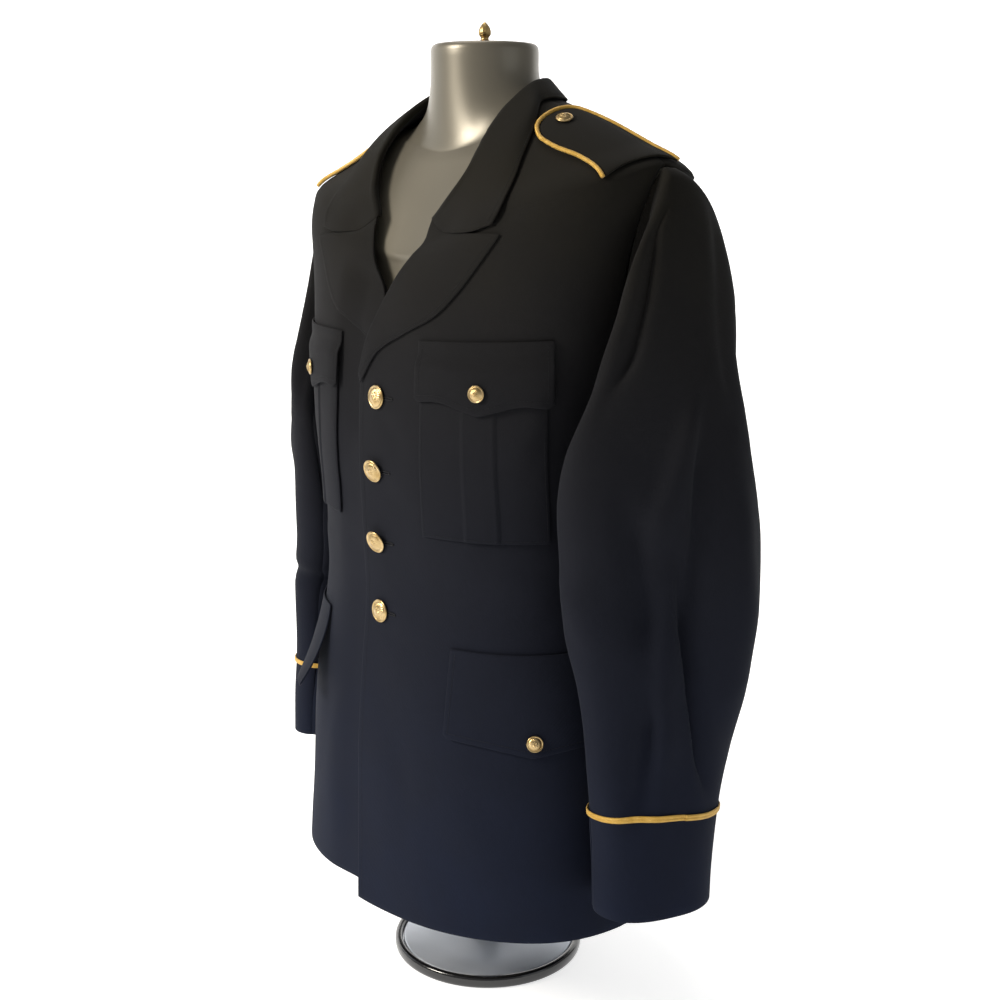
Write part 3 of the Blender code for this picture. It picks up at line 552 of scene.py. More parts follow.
def makeWool(name="uniform_wool"):
    cloth = Finish(name, **{"Metallic": 0.0, "Sheen Weight": wool["sheen"], "Sheen Roughness": 0.45,
                            "Sheen Tint": (0.75, 0.8, 0.9, 1), "Specular IOR Level": 0.12})
    flat = cloth.place("UV")
    solid = cloth.place("Object")
    lines = cloth.node("ShaderNodeMapping", {}, {"Vector": flat, "Rotation": (0, 0, math.radians(62))})
    twill = cloth.waves(lines, 1 / wool["twillPitch"] / 2 / math.pi * 2, distortion=0.4)
    broken = cloth.noise(cloth.scaled(flat, 1400, 500, 1), 1.0, 2.0)
    cloud = cloth.noise(solid, 14.0, 4.0, 0.6)
    heather = cloth.noise(solid, 900.0, 2.0, 0.6)
    mixed = cloth.range(cloud, 0.35, 0.68, 0.0, 1.0) * 0.45 + heather * 0.35 + twill * 0.22
    height = cloth.node("ShaderNodeSeparateXYZ", {}, [solid], output=2)
    # painted light: the base colour is blended by height from the cool low tint to the warm high tint
    paintedLightTint = cloth.mixColour(cloth.range(height + cloud * 0.06, 0.2, 0.85, 0.0, 1.0), wool["low"], wool["high"])
    cloth.set("Base Color", cloth.mixColour(mixed, paintedLightTint, cloth.mixColour(1.0, paintedLightTint, wool["lift"], "MULTIPLY")))
    cloth.set("Roughness", cloth.range(cloud, 0.3, 0.7, wool["roughness"] - 0.05, wool["roughness"] + 0.05))
    fuzz = cloth.bump(heather, 0.00012, 0.5)
    cloth.set("Normal", cloth.bump(twill * 0.7 + broken * 0.5, 0.00022, 0.6, fuzz))
    return cloth.material


def makeThread(name, colour, roughness=0.55):
    thread = Finish(name, **{"Specular IOR Level": 0.15, "Sheen Weight": 0.02})
    solid = thread.place("Object")
    twist = thread.noise(solid, 2600.0, 2.0)
    thread.set("Base Color", thread.mixColour(twist, colour, tuple(c * 1.5 for c in colour[:3]) + (1,)))
    thread.set("Roughness", thread.range(twist, 0.2, 0.8, roughness - 0.1, roughness + 0.1))
    thread.set("Normal", thread.bump(twist, 0.0001, 0.6))
    return thread.material


def makeGoldBraid():
    gold = Finish("gold_lace", **{"Metallic": 0.25, "Sheen Weight": 0.15, "Specular IOR Level": 0.6})
    flat = gold.place("UV")
    solid = gold.place("Object")
    threads = gold.waves(gold.scaled(flat, 1, 1, 1), 900.0, distortion=0.6)
    worn = gold.noise(solid, 160.0, 3.0)
    base = gold.mixColour(threads, (0.46, 0.24, 0.02, 1), (0.84, 0.50, 0.06, 1))
    gold.set("Base Color", gold.mixColour(gold.range(worn, 0.35, 0.75, 0.0, 0.5), base, (0.92, 0.62, 0.16, 1)))
    gold.set("Roughness", gold.range(worn, 0.3, 0.7, 0.34, 0.5))
    gold.set("Normal", gold.bump(threads, 0.00018, 0.6))
    return gold.material


def makeGilt():
    gilt = Finish("gilt_button", **{"Metallic": 1.0})
    solid = gilt.place("Object")
    spots = gilt.noise(solid, 700.0, 4.0, 0.6)
    cloud = gilt.noise(solid, 120.0, 3.0)
    gilt.set("Base Color", gilt.mixColour(gilt.range(cloud, 0.35, 0.7, 0.0, 1.0), (0.42, 0.29, 0.12, 1),
                                          (0.60, 0.46, 0.25, 1)))
    gilt.set("Roughness", gilt.range(spots, 0.3, 0.75, 0.26, 0.4))
    gilt.set("Normal", gilt.bump(spots, 0.00005, 0.35))
    return gilt.material


def makeShell():
    shell = Finish("satin_shell", **{"Metallic": 0.45, "Specular IOR Level": 0.5, "Coat Weight": 0.15,
                                     "Coat Roughness": 0.3})
    solid = shell.place("Object")
    cloud = shell.noise(solid, 6.0, 3.0)
    fine = shell.noise(solid, 1500.0, 3.0, 0.7)
    shell.set("Base Color", shell.mixColour(cloud, (0.170, 0.154, 0.118, 1), (0.200, 0.182, 0.142, 1)))
    shell.set("Roughness", shell.range(fine, 0.3, 0.7, 0.30, 0.40))
    shell.set("Normal", shell.bump(fine, 0.00006, 0.4))
    return shell.material


def makePlate():
    plate = Finish("brushed_disc", **{"Metallic": 0.5, "Anisotropic": 0.3})
    solid = plate.place("Object")
    apart = plate.node("ShaderNodeSeparateXYZ", {}, [solid])
    x, y = apart, Socket(plate, apart.link.node.outputs[1])
    radius = (x * x + y * y) ** 0.5
    rings = plate.noise(plate.node("ShaderNodeCombineXYZ", {}, [radius * 2200.0, 0.0, 0.0]), 1.0, 2.0)
    smudge = plate.noise(solid, 22.0, 4.0, 0.6)
    plate.set("Base Color", plate.mixColour(smudge, (0.58, 0.63, 0.71, 1), (0.67, 0.71, 0.78, 1)))
    plate.set("Roughness", plate.range(smudge, 0.3, 0.7, 0.3, 0.44))
    plate.set("Normal", plate.bump(rings, 0.00005, 0.5))
    return plate.material


def makeBlackRim():
    rim = Finish("black_rim", **{"Coat Weight": 0.6, "Coat Roughness": 0.06})
    solid = rim.place("Object")
    dust = rim.noise(solid, 260.0, 5.0, 0.65)
    rim.set("Base Color", rim.mixColour(rim.range(dust, 0.55, 0.8, 0.0, 0.4), (0.008, 0.008, 0.009, 1),
                                        (0.04, 0.04, 0.042, 1)))
    rim.set("Roughness", rim.range(dust, 0.3, 0.8, 0.12, 0.3))
    rim.set("Normal", rim.bump(rim.noise(solid, 60.0, 2.0), 0.0002, 0.2))
    return rim.material


def makeBrass():
    brass = Finish("aged_brass", **{"Metallic": 1.0})
    solid = brass.place("Object")
    tarnish = brass.noise(solid, 240.0, 4.0, 0.6)
    brass.set("Base Color", brass.ramp(tarnish, (0.3, (0.28, 0.19, 0.07, 1)), (0.55, (0.66, 0.47, 0.2, 1)),
                                       (0.8, (0.8, 0.62, 0.32, 1))))
    brass.set("Roughness", brass.range(tarnish, 0.3, 0.7, 0.24, 0.45))
    brass.set("Normal", brass.bump(tarnish, 0.0001, 0.3))
    return brass.material


print("finishes")
woolCloth = makeWool()
darkThread = makeThread("dark_thread", (0.0045, 0.0048, 0.006, 1))
goldBraid = makeGoldBraid()
giltMetal = makeGilt()
shellSatin = makeShell()
discPlate = makePlate()
rimBlack = makeBlackRim()
agedBrass = makeBrass()

sides = ((1, "left"), (-1, "right"))

# soft troughs and ridges of the body cloth: from and to in millimetres round the front and up, then width and depth
bodyCreases = {
    "left": ((8, 604, 60, 560, 12, -0.9), (4, 532, 74, 508, 13, -0.8), (6, 462, 66, 470, 12, -0.7),
             (4, 392, 84, 372, 16, -0.9), (150, 470, 205, 430, 16, 1.0), (120, 250, 150, 150, 26, 1.4),
             (40, 300, 60, 140, 22, -1.0), (196, 640, 170, 560, 13, 1.2), (215, 300, 240, 150, 22, -1.2),
             (30, 700, 120, 690, 16, 0.8)),
    "right": ((20, 600, 70, 552, 12, -0.9), (24, 528, 82, 516, 13, -0.7), (20, 452, 74, 470, 12, -0.7),
              (120, 470, 196, 440, 15, 1.0), (70, 330, 88, 140, 24, 1.3), (150, 300, 170, 150, 24, -1.3),
              (196, 640, 166, 560, 13, 1.2), (30, 700, 118, 684, 16, 0.8))}
backCreases = {
    "left": ((10, 470, 120, 440, 18, -1.4), (20, 520, 130, 560, 20, 1.3), (6, 420, 90, 400, 14, 1.0),
             (60, 330, 84, 140, 26, -1.6), (130, 320, 150, 150, 24, 1.5), (150, 700, 100, 600, 22, 1.5),
             (20, 800, 110, 780, 20, 0.9)),
    "right": ((8, 462, 110, 452, 17, -1.4), (16, 508, 126, 540, 21, 1.4), (5, 410, 80, 392, 14, 0.9),
              (50, 330, 66, 140, 25, 1.4), (118, 320, 140, 150, 25, -1.6), (156, 690, 106, 590, 22, 1.4),
              (20, 806, 116, 780, 20, 0.9))}


def crease(x, y, x0, y0, x1, y1, width, depth):
    # an uneven trough or ridge along a slanted line, steeper on its upper side and fading at its ends
    length = math.hypot(x1 - x0, y1 - y0)
    ux, uy = (x1 - x0) / length, (y1 - y0) / length
    along = ((x - x0) * ux + (y - y0) * uy) / length
    off = (x - x0) * -uy + (y - y0) * ux + 0.18 * width * np.sin(along * 7 + x0)
    spread = width * np.where(off > 0, 0.75, 1.25) * (0.75 + 0.5 * np.clip(along, 0, 1))
    fade = smooth(-0.12, 0.3, along) * (1 - smooth(0.7, 1.12, along))
    return depth * np.exp(-(off / spread) ** 2) * fade


perDegree = {"front": 3.0, "back": 2.4}     # about how many millimetres one degree of the coat is


def bodyFolds(angle, level, side):
    mark = "left" if side > 0 else "right"
    front = np.asarray(angle, float) * perDegree["front"]
    behind = (180 - np.asarray(angle, float)) * perDegree["back"]
    total = np.zeros(np.broadcast(front, level).shape)
    for row in bodyCreases[mark]:
        total = total + crease(front, level, *row)
    for row in backCreases[mark]:
        total = total + crease(behind, level, *row)
    swell = 0.7 * np.sin(level / 46.0 + angle / 17.0) * np.sin(angle / 11.0 + level / 90.0 + side)
    return (total + swell) * (1 - smooth(790, 826, level))


shoulderEdge = {"cut": 2.4, "reach": 14.0, "slope": 6.5, "slopeReach": 26.0, "lean": 2.5}


def shoulderPress(angle, level):
    # rounds the shoulder's edge off, and slopes it into the sleeve behind the seam
    edge = shoulderEdge
    off = np.where(level < shoulderLevel, shoulderLevel - level, (level - shoulderLevel) * edge["lean"])
    behind = smooth(91, 106, angle) * (1 - smooth(122, 150, angle))
    kept = 1 - 0.6 * np.exp(-((angle - 88) / 7.0) ** 2)
    rounder = -edge["cut"] * np.exp(-(off / edge["reach"]) ** 2) * kept
    return rounder - edge["slope"] * behind * np.exp(-(off / edge["slopeReach"]) ** 2)


def laidPoint(angle, level, lift, side):
    angle, level, lift = np.broadcast_arrays(*(np.asarray(value, float) for value in (angle, level, lift)))
    sink = sinkRight(angle, level) if side < 0 else 0.0
    height = lift + wall / 2 - sink + bodyFolds(angle, level, side) + shoulderPress(angle, level)
    return mirror(onBody(angle, level, height) + hemShift(angle, level, side)[..., None] * upAxis, side)


def panelRows(start, end, count):
    return start + (end - start) * np.arange(count) / count


panelLevels = np.concatenate([panelRows(hemLevel, armLevel, 74),
                              armholeLevel(np.arange(34) / 34.0),
                              panelRows(shoulderLevel, neckLevel, 22), [float(neckLevel)]])


def seamDip(distance, depth=0.7, reach=3.5):
    # panels roll under slightly where they are sewn
    return -depth * np.exp(-(distance / reach) ** 2)


def across(first, last, columns):
    # finer columns close to both edges
    t = np.linspace(0.0, 1.0, columns)
    t = t - 0.10 * np.sin(2 * math.pi * t)
    return first[:, None] + (last - first)[:, None] * t[None, :]


def panel(first, last, level, columns, side, sewnFirst, sewnLast):
    angle = across(first, last, columns)
    heights = np.repeat(level[:, None], columns, 1)
    scale = 1 / angleStep(angle, heights, 1.0)
    dip = 0.0
    if sewnFirst:
        dip = dip + seamDip((angle - first[:, None]) * scale)
    if sewnLast:
        dip = dip + seamDip((last[:, None] - angle) * scale)
    return laidPoint(angle, heights, dip - wall, side)


def outerEdge(level, front):
    inHole = (level > armLevel) & (level < shoulderLevel)
    below = sideFront if front else sideBack
    beside = armholeAngle(np.clip(level, armLevel, shoulderLevel), front)
    return np.where(level <= armLevel, below, np.where(inHole, beside, 90.0))


def woolPiece(name, node, grid, side):
    return place(name, clothMesh(node, grid, wall, side), woolCloth, "wool", node)


def unitGrid(rows, columns):
    return np.meshgrid(np.linspace(0, 1, rows), np.linspace(0, 1, columns), indexing="ij")


print("fronts, sides and back")
panelShape = {"frontColumns": 66, "backColumns": 52, "sideColumns": 26}
for side, mark in sides:
    level = panelLevels
    first = frontEdge.at("angle", level)
    last = outerEdge(level, True)
    last = last - angleStep(last, level, panelGap / 2)
    grid = panel(first, last, level, panelShape["frontColumns"], side, False, True)
    woolPiece("front_cloth_" + mark, "front_" + mark, grid, side)
    first = outerEdge(level, False)
    first = first + angleStep(first, level, panelGap / 2)
    last = 180 - angleStep(np.full_like(level, 180.0), level, panelGap / 2)
    grid = panel(first, last, level, panelShape["backColumns"], side, True, True)
    woolPiece("back_cloth_" + mark, "back_" + mark, grid, side)
    turns = np.linspace(sideFront, sideBack, panelShape["sideColumns"])
    t = np.arange(76)[:, None] / 75.0
    heights = hemLevel + (armholeBottom(turns)[None, :] - hemLevel) * t
    angle = np.repeat(turns[None, :], 76, 0)
    angle[:, 0] += angleStep(angle[:, 0], heights[:, 0], panelGap / 2)
    angle[:, -1] -= angleStep(angle[:, -1], heights[:, -1], panelGap / 2)
    scale = 1 / angleStep(angle, heights, 1.0)
    dip = seamDip((angle - sideFront) * scale) + seamDip((sideBack - angle) * scale)
    grid = laidPoint(angle, heights, dip - wall, side)
    woolPiece("side_cloth_" + mark, "side_" + mark, grid, side)

print("sleeves")
# creases of a sleeve, each as width in columns, depth in millimetres and a bent line of (armhole column, stage)
sleeveCreases = {
    "left": ((0.42, -7.0, (0.8, 1.9), (1.7, 2.2), (2.1, 3.3), (2.8, 4.2), (3.5, 4.8)),
             (0.5, -3.4, (4.5, 1.6), (5.0, 3.2), (5.3, 5.0)), (0.8, 2.6, (2.6, 1.8), (3.2, 3.0), (3.9, 4.2)),
             (0.7, 4.4, (19.2, 4.8), (20.8, 6.0), (21.7, 6.6), (22.1, 7.3)),
             (0.6, -4.4, (19.1, 5.0), (19.7, 6.3), (20.1, 7.4), (20.3, 8.5)),
             (0.42, -5.2, (21.0, 7.2), (20.8, 8.2), (20.1, 9.1), (18.8, 10.1), (17.2, 10.9)),
             (0.8, 2.8, (21.7, 7.6), (22.2, 9.3), (21.9, 10.0), (22.2, 10.7)),
             (0.9, 4.4, (17.6, 5.6), (17.8, 7.2), (16.8, 9.2), (15.6, 10.2)),
             (0.5, -3.6, (3.2, 6.2), (2.9, 7.4), (2.6, 8.6)), (0.6, -3.4, (2.6, 9.0), (3.2, 10.2), (3.4, 11.2)),
             (0.6, 2.2, (5.4, 7.2), (4.2, 8.4)), (0.7, -3.4, (18.6, 1.4), (18.0, 3.4), (17.2, 5.6)),
             (0.6, -3.0, (16.4, 3.0), (15.6, 6.4))),
    "right": ((0.5, -5.2, (1.0, 1.8), (2.2, 3.0), (3.4, 4.9)), (0.45, -3.0, (4.4, 2.0), (5.2, 5.4)),
              (0.7, 3.4, (1.0, 2.6), (1.6, 4.2), (2.4, 5.6)), (0.6, -4.4, (3.2, 6.2), (2.6, 7.4), (2.2, 8.8)),
              (0.7, 3.6, (4.2, 5.6), (3.4, 6.8), (3.0, 8.6)), (0.5, -3.6, (2.5, 7.8), (3.2, 9.4), (3.6, 11.0)),
              (0.7, -3.2, (18.4, 1.6), (17.6, 3.6), (17.0, 5.4)), (0.6, -3.0, (16.2, 3.2), (15.6, 6.6)),
              (0.7, 3.8, (16.2, 6.4), (17.2, 7.4), (18.2, 8.2)), (0.6, -2.8, (0.4, 8.6), (19.9, 9.8), (19.3, 11.2)))}


def bentCrease(x, y, points, width, depth):
    # an uneven trough or ridge along a bent line, steeper on one side and fading at its ends
    lengths = [math.dist(a, b) for a, b in zip(points, points[1:])]
    total, gone = sum(lengths), 0.0
    nearest, off, along = np.full(x.shape, np.inf), np.zeros(x.shape), np.zeros(x.shape)
    for (x0, y0), (x1, y1), length in zip(points, points[1:], lengths):
        ux, uy = (x1 - x0) / length, (y1 - y0) / length
        t = np.clip((x - x0) * ux + (y - y0) * uy, 0.0, length)
        away = np.hypot(x - x0 - t * ux, y - y0 - t * uy)
        turned = np.sign((x - x0) * -uy + (y - y0) * ux)
        closer = away < nearest
        nearest = np.where(closer, away, nearest)
        off = np.where(closer, turned * away, off)
        along = np.where(closer, (gone + t) / total, along)
        gone += length
    spread = width * np.where(off > 0, 0.8, 1.25) * (0.75 + 0.5 * along)
    fade = (0.25 + 0.75 * smooth(0.0, 0.3, along)) * (1 - 0.85 * smooth(0.7, 1.0, along))
    return depth * np.exp(-(off / spread) ** 2) * fade


# perColumn and perStage say about how many millimetres each is.
# Up to cap the sleeve runs straight out of the armhole.
sleeveDetail = {"rows": 130, "topColumns": 70, "underColumns": 46, "end": 12.3, "cap": 0.35, "strength": 1.9,
                "perColumn": 18.0, "perStage": 55.0}


def sleeveFolds(column, stage, side):
    mark = "left" if side > 0 else "right"
    total = np.zeros(np.broadcast(column, stage).shape)
    across, along = sleeveDetail["perColumn"], sleeveDetail["perStage"]
    for width, depth, *places in sleeveCreases[mark]:
        points = [(c * across, -s * along) for c, s in places]
        for turn in (-loopCount, 0, loopCount):
            total = total + bentCrease((column + turn) * across, -stage * along, points, width * across,
                                       depth * sleeveDetail["strength"])
    ripple = 0.8 * np.sin(stage * 2.1 + column * 0.9 + side) * np.sin(stage * 0.7 - column * 0.5)
    return (total + ripple) * smooth(0.3, 1.6, stage) * (1 - smooth(11.2, 12.1, stage) * 0.8)


def sleeveGrid(firstColumn, lastColumn, count, side):
    columns = np.linspace(firstColumn, lastColumn, count)
    t = np.linspace(0.0, 1.0, sleeveDetail["rows"])
    stages = sleeveDetail["end"] * (0.25 * t * t + 0.75 * t)
    cap = sleeveDetail["cap"]
    c, s = np.meshgrid(columns, stages)
    edge = np.minimum(c - firstColumn, lastColumn - c) * 19.0
    lift = -wall / 2 + sleeveFolds(c, s, side) + seamDip(edge, 0.8, 3.0)
    grid = sleevePoint(c, np.maximum(s, 0.0), lift, side)
    start = armholeStart(columns, side)
    blend = smooth(0.0, cap, s)[..., None]
    first = sleevePoint(c, np.full_like(s, cap), -wall / 2, side)
    puff = start[None, :, :] + (first - start[None, :, :]) * np.clip(s / cap, 0, 1)[..., None]
    grid = puff * (1 - blend) + grid * blend
    for spot, other in ((0, 1), (-1, -2)):
        grid[:, spot] = grid[:, spot] + unit(grid[:, other] - grid[:, spot]) * (panelGap / 2)
    return mirror(grid, side)


for side, mark in sides:
    under = sleeveGrid(sleeveSeamFront, sleeveSeamBack, sleeveDetail["underColumns"], side)
    top = sleeveGrid(sleeveSeamBack, loopCount + sleeveSeamFront, sleeveDetail["topColumns"], side)
    for kind, grid, cut in (("sleeve_under_", under, "sleeveUnder"), ("sleeve_top_", top, "sleeveTop")):
        item = woolPiece(kind + "cloth_" + mark, kind + mark, grid, side)

print("collar and lapels")
lapelDetail = {"rows": 60, "columns": 34, "roll": 1.2}


def lapelPlace(t, v):
    roll = lapelShape.at("rollAngle", t) - lapelOverhang
    edge = lapelShape.at("edgeAngle", t)
    low, high = lapelShape.at("rollLevel", t), lapelShape.at("edgeLevel", t)
    bend = np.where(v < notchPlace, v / notchPlace, (1 - v) / (1 - notchPlace))
    dip = notchDip * smooth(0.75, 1, t) * bend
    return roll + (edge - roll) * v, low + (high - low) * v - dip


def lapelLift(t, v):
    # the lapel swells off the chest near its roll and lies down at its edge
    bow = np.sin(math.pi * np.clip(v, 0, 1)) * 1.3 * np.sin(math.pi * np.clip(t, 0, 1))
    return overlayGap + lapelDetail["roll"] * (1 - v) * smooth(0, 0.3, t) + bow


for side, mark in sides:
    t, v = unitGrid(lapelDetail["rows"], lapelDetail["columns"])
    angle, level = lapelPlace(t, v)
    grid = laidPoint(angle, level, lapelLift(t, v), side)
    item = woolPiece("lapel_cloth_" + mark, "lapel_" + mark, grid, side)


def collarSection(step):
    seam = onBody(collarShape.at("seamAngle", step), collarShape.at("seamLevel", step), -wall / 2)
    fold = np.array([float(collarShape.at(name, step)) for name in ("foldX", "foldY", "foldZ")])
    edge = onBody(collarShape.at("edgeAngle", step), collarShape.at("edgeLevel", step),
                  overlayGap + collarEdgeClear + wall / 2)
    fall = onBody(collarShape.at("fallAngle", step), collarShape.at("fallLevel", step),
                  collarShape.at("fallLift", step))
    inward = unit(fold - seam)
    seam = seam + inward * collarSeam
    outward = fall - seam
    outward = unit(outward - inward * (outward * inward).sum())
    shoulder = fold + outward * foldRadius * 2 - inward * foldRadius
    crown = fold + outward * foldRadius
    return np.array([seam, (seam + fold) / 2, fold - inward * foldRadius, crown, shoulder, fall, edge])


def rounded(points, count):
    # a smooth line through the points, evenly spaced
    padded = np.concatenate([[2 * points[0] - points[1]], points, [2 * points[-1] - points[-2]]])
    samples = []
    for i in range(len(points) - 1):
        p0, p1, p2, p3 = padded[i:i + 4]
        d1, d2 = (p2 - p0) / 2, (p3 - p1) / 2
        span = np.linalg.norm(p2 - p1)
        d1, d2 = unit(d1) * min(np.linalg.norm(d1), span), unit(d2) * min(np.linalg.norm(d2), span)
        for t in np.linspace(0, 1, 12, endpoint=False):
            samples.append((2 * t**3 - 3 * t**2 + 1) * p1 + (t**3 - 2 * t**2 + t) * d1 + (3 * t**2 - 2 * t**3) * p2
                           + (t**3 - t**2) * d2)
    samples = np.array(samples + [points[-1]])
    gone = np.concatenate([[0.0], np.linalg.norm(np.diff(samples, axis=0), axis=1).cumsum()])
    at = np.linspace(0, gone[-1], count)
    return np.stack([np.interp(at, gone, samples[:, i]) for i in range(3)], -1)


collarDetail = {"steps": 56, "across": 30, "foldAt": 3, "meetsTo": 19, "meetsLapelTo": 0.46}


def collarTuck(endRow):
    # how far the collar's front end comes down to the top edge of the lapel, less towards the notch
    number = np.arange(collarDetail["across"])
    first, last = collarDetail["foldAt"], collarDetail["meetsTo"]
    v = np.clip((number - first) / (last - first), 0, 1) * collarDetail["meetsLapelTo"]
    angle, level = lapelPlace(np.ones_like(v), v)
    target = laidPoint(angle, level, lapelLift(np.ones_like(v), v), 1) + np.array([0.0, 0.0, 1.3])
    tuck = target - endRow
    tuck[:first] = tuck[first]
    return tuck * (1 - smooth(last - 4, last + 5, number))[:, None]


collarStepList = np.linspace(0, 4, collarDetail["steps"])
halfCollar = np.array([rounded(collarSection(step), collarDetail["across"]) for step in collarStepList])
tuckFade = (1 - smooth(0, 0.5, collarStepList)) ** 1.5
halfCollar = halfCollar + collarTuck(halfCollar[0])[None, :, :] * tuckFade[:, None, None]
otherHalf = mirror(halfCollar[-2::-1], -1)
collarGrid = np.concatenate([halfCollar, otherHalf])
collar = woolPiece("collar_cloth", "collar", collarGrid, 1)

print("pockets and flaps")
breastPocket = {"top": 640.0, "bottom": 492.0, "start": 66.0, "end": 190.0, "pleatRise": 1.2, "pleatHalf": 15.2,
                "rows": 50, "columns": 64}
breastFlap = {"top": 682.0, "depth": 62.0, "point": 9.0, "scallop": 6.0, "start": 62.0, "end": 195.0,
              "buttonLevel": 632.0, "rows": 34, "columns": 62}
hipFlap = {"top": 386.0, "depth": 84.0, "point": 10.0, "start": 98.0, "end": 276.0, "flareLeft": 1.5,
           "flareRight": 27.4, "buttonLevel": 306.0, "rows": 36, "columns": 66}
breastFlapRest = overlayGap * 2 + wall + breastPocket["pleatRise"]


def spanAngle(shape, level, v):
    # the angle at this share of the way from the start to the end of a pocket or flap
    return girthAngle(level, shape["start"] + (shape["end"] - shape["start"]) * v)


def cornerCut(v):
    return 3.5 * (1 - smooth(0.0, 0.03, np.minimum(v, 1 - v)))


def pocketPlace(t, v):
    level = breastPocket["top"] + (breastPocket["bottom"] - breastPocket["top"]) * t
    return spanAngle(breastPocket, level, v), level


def pocketLift(t, v):
    # the box pleat stands up in the middle, with a fold at each side of it
    off = abs(v - 0.5) * (breastPocket["end"] - breastPocket["start"])
    half = breastPocket["pleatHalf"]
    pleat = breastPocket["pleatRise"] * (1 - smooth(half - 0.2, half + 1.3, off))
    return overlayGap + pleat + 0.35 * np.exp(-((off - half) / 1.6) ** 2)


def breastFlapPlace(t, v):
    point = 1 - abs(v - 0.5) * 2
    scallop = np.sin(v * math.pi * 2) ** 2 * (1 - point)
    depth = breastFlap["depth"] + breastFlap["point"] * point ** 2 - breastFlap["scallop"] * scallop - cornerCut(v)
    level = breastFlap["top"] - depth * t
    return spanAngle(breastFlap, level, v), level


def breastFlapLift(t, v):
    lip = 0.5 * smooth(0.8, 1.0, t) * np.sin(v * 9.0) ** 2
    return overlayGap + (breastFlapRest - overlayGap) * smooth(0.2, 0.5, t) + lip


def hipFlapPlace(t, v):
    depth = hipFlap["depth"] + hipFlap["point"] * (1 - abs(v - 0.5) * 2) ** 2 - cornerCut(v)
    level = hipFlap["top"] - depth * t
    return spanAngle(hipFlap, level, v), level


def hipFlapLift(t, v, side):
    flare = hipFlap["flareRight"] if side < 0 else hipFlap["flareLeft"]
    return overlayGap + flare * t * t * (1 - v) ** 1.4


def laidCloth(kind, shape, where, lift, side, mark):
    t, v = unitGrid(shape["rows"], shape["columns"])
    angle, level = where(t, v)
    return woolPiece(kind + "_cloth_" + mark, kind + "_" + mark, laidPoint(angle, level, lift(t, v), side), -side)


for side, mark in sides:
    item = laidCloth("breast_pocket", breastPocket, pocketPlace, pocketLift, side, mark)
    item = laidCloth("breast_flap", breastFlap, breastFlapPlace, breastFlapLift, side, mark)
    item = laidCloth("hip_flap", hipFlap, hipFlapPlace, lambda t, v: hipFlapLift(t, v, side), side, mark)

print("shoulder straps")
strapShape = Table(
    ("x", "yFront", "yRear"),
    ((112, -25, -12), (115, -34, 0), (121, -40, 8), (131, -44, 12), (150, -45, 16), (176, -43, 20), (188, -44, 23),
     (202, -47, 26), (211, -50, 28)))
strapDetail = {"rows": 44, "columns": 26, "inner": 112, "outer": 211, "frontReach": 1.5, "rearReach": 12.0,
               "pipingRadius": 2.1, "lift": overlayGap + 0.2, "button": (128, -18)}


def strapReach(x, share):
    # the strap's end runs slanted along the seam of the sleeve, share counts from its front edge to its rear
    further = strapDetail["frontReach"] + (strapDetail["rearReach"] - strapDetail["frontReach"]) * share
    return x + further * smooth(165, strapDetail["outer"], x)


def strapPoint(x, y, lift, side):
    angle, level = topPlace(x, y)
    return mirror(onBody(angle, level, lift + shoulderPress(angle, level) * smooth(150, 190, x)), side)


def tube(name, path, radius, segments=12, twist=0.0, lobes=0, lobeDepth=0.0, closed=False):
    # a round or lobed cord along a path of points, with its UV in metres along and round
    path = np.asarray(path, float)
    tangent = unit(np.roll(path, -1, 0) - np.roll(path, 1, 0)) if closed else unit(np.gradient(path, axis=0))
    gone = np.concatenate([[0.0], np.linalg.norm(np.diff(path, axis=0), axis=1).cumsum()])
    frameUp = unit(np.cross(tangent, upAxis))
    frameSide = np.cross(frameUp, tangent)
    points, uvs = [], []
    for i in range(len(path)):
        turn = np.linspace(0, 2 * math.pi, segments, endpoint=False)
        lobe = abs(np.cos(lobes / 2 * (turn + twist * gone[i])))
        reach = radius * (1 - lobeDepth + lobeDepth * lobe)
        up, across = (np.cos(turn) * reach)[:, None], (np.sin(turn) * reach)[:, None]
        points.append(path[i] + up * frameUp[i] + across * frameSide[i])
        uvs.append(np.stack([np.full(segments, gone[i]), turn * radius], -1) * mm)
    points, uvs = np.concatenate(points), np.concatenate(uvs)
    number = np.arange(len(path) * segments).reshape(len(path), segments)
    if closed:
        number = np.concatenate([number, number[:1]])
    nextOne = np.roll(number, -1, 1)
    faces = np.stack([number[:-1], nextOne[:-1], nextOne[1:], number[1:]], -1).reshape(-1, 4)[:, ::-1].tolist()
    if not closed:
        faces += [number[0].tolist(), number[-1][::-1].tolist()]
    return meshFrom(name, points, faces, uvs)


